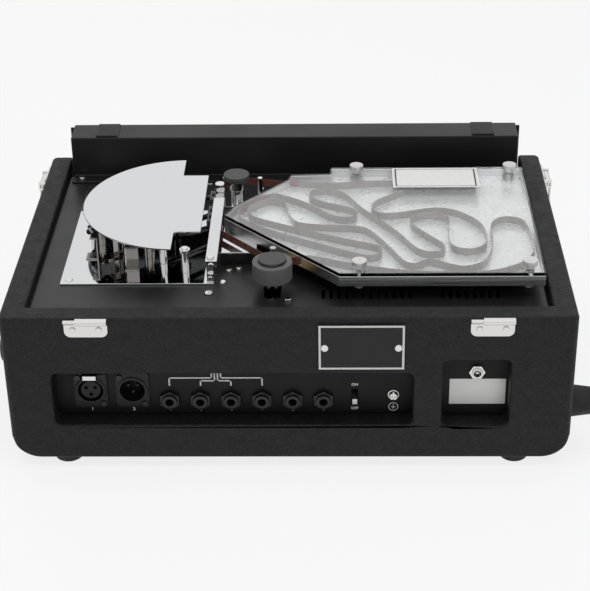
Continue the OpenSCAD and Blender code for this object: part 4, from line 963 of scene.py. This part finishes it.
def add_meter():
    low, high = local_box("vu_meter")
    x = (low.x + high.x) / 2
    z = (low.z + high.z) / 2
    face_y = PANEL_Y + 5.6
    half_w, half_h = (high.x - low.x) / 2 - 5.2, (high.z - low.z) / 2 - 5.2
    bm = bmesh.new()
    add_block(bm, (x - half_w, face_y, z - half_h), (x + half_w, face_y + 0.3, z + half_h))
    piece("meter_face", bm, "unit", ["meter_face"])
    pivot = (x, 106.0)
    bm = bmesh.new()
    radius = 24.0
    for k in range(11):
        angle = math.radians(135 - 9 * k)
        reach = 3.0 if k % 2 == 0 else 1.8
        for step in range(4):
            r = radius + reach * step / 3
            cx, cz = pivot[0] - r * math.cos(angle), pivot[1] + r * math.sin(angle)
            add_bar_mark(bm, cx - 0.2, cx + 0.2, cz - 0.45, cz + 0.45, face_y, toward=-1)
    piece("meter_ticks", bm, "unit", ["ink"])
    bm = bmesh.new()
    glass_y = PANEL_Y - 3.2
    add_block(bm, (x - half_w, glass_y, z - half_h), (x + half_w, glass_y + 0.8, z + half_h),
              bevel_mm=0.1)
    piece("meter_window", bm, "unit", ["meter_glass"])


def add_panel_scales():
    """Ticks and plain numbers round each knob."""
    bm = bmesh.new()
    for name in sorted(frame["nodes"]):
        if not name.endswith("_knob"):
            continue
        low, high = local_box(name)
        x, z = (low.x + high.x) / 2, (low.z + high.z) / 2
        radius = (high.x - low.x) / 2 + 2.6
        for k in range(11):
            angle = math.radians(240 - 30 * k)
            cx, cz = x - radius * math.cos(angle), z + radius * math.sin(angle)
            add_bar_mark(bm, cx - 0.35, cx + 0.35, cz - 0.35, cz + 0.35, PANEL_Y, toward=-1)
            if k % 5 == 0:
                r = radius + 3.2
                centre = (x - r * math.cos(angle), PANEL_Y - 0.02, z + r * math.sin(angle))
                add_text(bm, str(k), 3.0, centre, facing="-Y")
    piece("panel_ticks", bm, "unit", ["white"])


# ---------- stage and light ----------
def add_stage():
    mesh = bpy.data.meshes.new("floor")
    reach = 8.0
    corners = [(-reach, -reach, 0), (reach, -reach, 0), (reach, reach, 0), (-reach, reach, 0)]
    mesh.from_pydata(corners, [], [(0, 1, 2, 3)])
    floor = bpy.data.objects.new("floor", mesh)
    bpy.context.scene.collection.objects.link(floor)
    material = bpy.data.materials.new("pale_floor")
    material.use_nodes = True
    tree = material.node_tree
    tree.nodes.clear()
    seen = seen_directly(tree)
    share = tree.nodes.new("ShaderNodeMath")
    share.operation = "MULTIPLY"
    share.inputs[1].default_value = 0.8
    tree.links.new(seen, share.inputs[0])
    matt = tree.nodes.new("ShaderNodeBsdfDiffuse")
    matt.inputs["Color"].default_value = (0.9, 0.9, 0.9, 1)
    white = tree.nodes.new("ShaderNodeEmission")
    white.inputs["Strength"].default_value = 1.0
    either = tree.nodes.new("ShaderNodeMixShader")
    output = tree.nodes.new("ShaderNodeOutputMaterial")
    tree.links.new(share.outputs[0], either.inputs[0])
    tree.links.new(matt.outputs[0], either.inputs[1])
    tree.links.new(white.outputs[0], either.inputs[2])
    tree.links.new(either.outputs[0], output.inputs["Surface"])
    mesh.materials.append(material)


def seen_directly(tree):
    """1 for camera, glossy and transmission rays, which show the white surroundings."""
    path = tree.nodes.new("ShaderNodeLightPath")
    first = tree.nodes.new("ShaderNodeMath")
    first.operation = "MAXIMUM"
    second = tree.nodes.new("ShaderNodeMath")
    second.operation = "MAXIMUM"
    tree.links.new(path.outputs["Is Camera Ray"], first.inputs[0])
    tree.links.new(path.outputs["Is Glossy Ray"], first.inputs[1])
    tree.links.new(first.outputs[0], second.inputs[0])
    tree.links.new(path.outputs["Is Transmission Ray"], second.inputs[1])
    return second.outputs[0]


AMBIENT = 0.32
WALL_LIGHT = 0.3


def studio_walls(tree, strength):
    """For glossy rays the studio is white overhead and darker low down, so that metal has contrast."""
    source = tree.nodes.new("ShaderNodeTexCoord")
    parts = tree.nodes.new("ShaderNodeSeparateXYZ")
    rise = tree.nodes.new("ShaderNodeMapRange")
    rise.inputs["From Min"].default_value = -0.1
    rise.inputs["From Max"].default_value = 0.32
    rise.inputs["To Min"].default_value = WALL_LIGHT
    path = tree.nodes.new("ShaderNodeLightPath")
    either = tree.nodes.new("ShaderNodeMix")
    either.inputs["A"].default_value = 1.0
    result = tree.nodes.new("ShaderNodeMath")
    result.operation = "MULTIPLY"
    tree.links.new(source.outputs["Generated"], parts.inputs[0])
    tree.links.new(parts.outputs["Z"], rise.inputs["Value"])
    tree.links.new(path.outputs["Is Glossy Ray"], either.inputs["Factor"])
    tree.links.new(rise.outputs["Result"], either.inputs["B"])
    tree.links.new(either.outputs["Result"], result.inputs[0])
    tree.links.new(strength, result.inputs[1])
    return result.outputs[0]


def add_world():
    world = bpy.data.worlds.new("studio")
    bpy.context.scene.world = world
    world.use_nodes = True
    tree = world.node_tree
    background = tree.nodes["Background"]
    background.inputs["Color"].default_value = (1, 1, 1, 1)
    level = tree.nodes.new("ShaderNodeMapRange")
    level.inputs["To Min"].default_value = AMBIENT
    level.inputs["To Max"].default_value = 1.0
    tree.links.new(seen_directly(tree), level.inputs["Value"])
    tree.links.new(studio_walls(tree, level.outputs["Result"]), background.inputs["Strength"])


def add_lamp(name, place_m, aim_m, size_m, watts):
    data = bpy.data.lights.new(name, "AREA")
    data.shape = "RECTANGLE"
    data.size, data.size_y = size_m
    data.energy = watts
    lamp = bpy.data.objects.new(name, data)
    lamp.visible_glossy = False
    bpy.context.scene.collection.objects.link(lamp)
    lamp.location = place_m
    direction = Vector(aim_m) - Vector(place_m)
    lamp.rotation_euler = direction.to_track_quat("-Z", "Y").to_euler()


def add_light():
    add_lamp("overhead", (0.0, 0.2, 1.9), (0.0, 0.0, 0.1), (1.6, 1.2), 17)
    add_lamp("camera_side", (-0.9, 1.9, 1.2), (0.0, 0.0, 0.1), (1.0, 1.0), 8)
    add_lamp("far_side", (0.8, -1.7, 1.3), (0.0, 0.0, 0.1), (1.2, 0.8), 6)


add_camera()
add_world()
add_light()
add_stage()
finish_case()
finish_sockets()
finish_deck()
finish_tank()
finish_drive()
finish_controls()
add_back_marks()
add_plates()
add_thumb_screws()
add_springs()
add_meter()
add_panel_scales()

bpy.context.scene.view_settings.view_transform = "Standard"
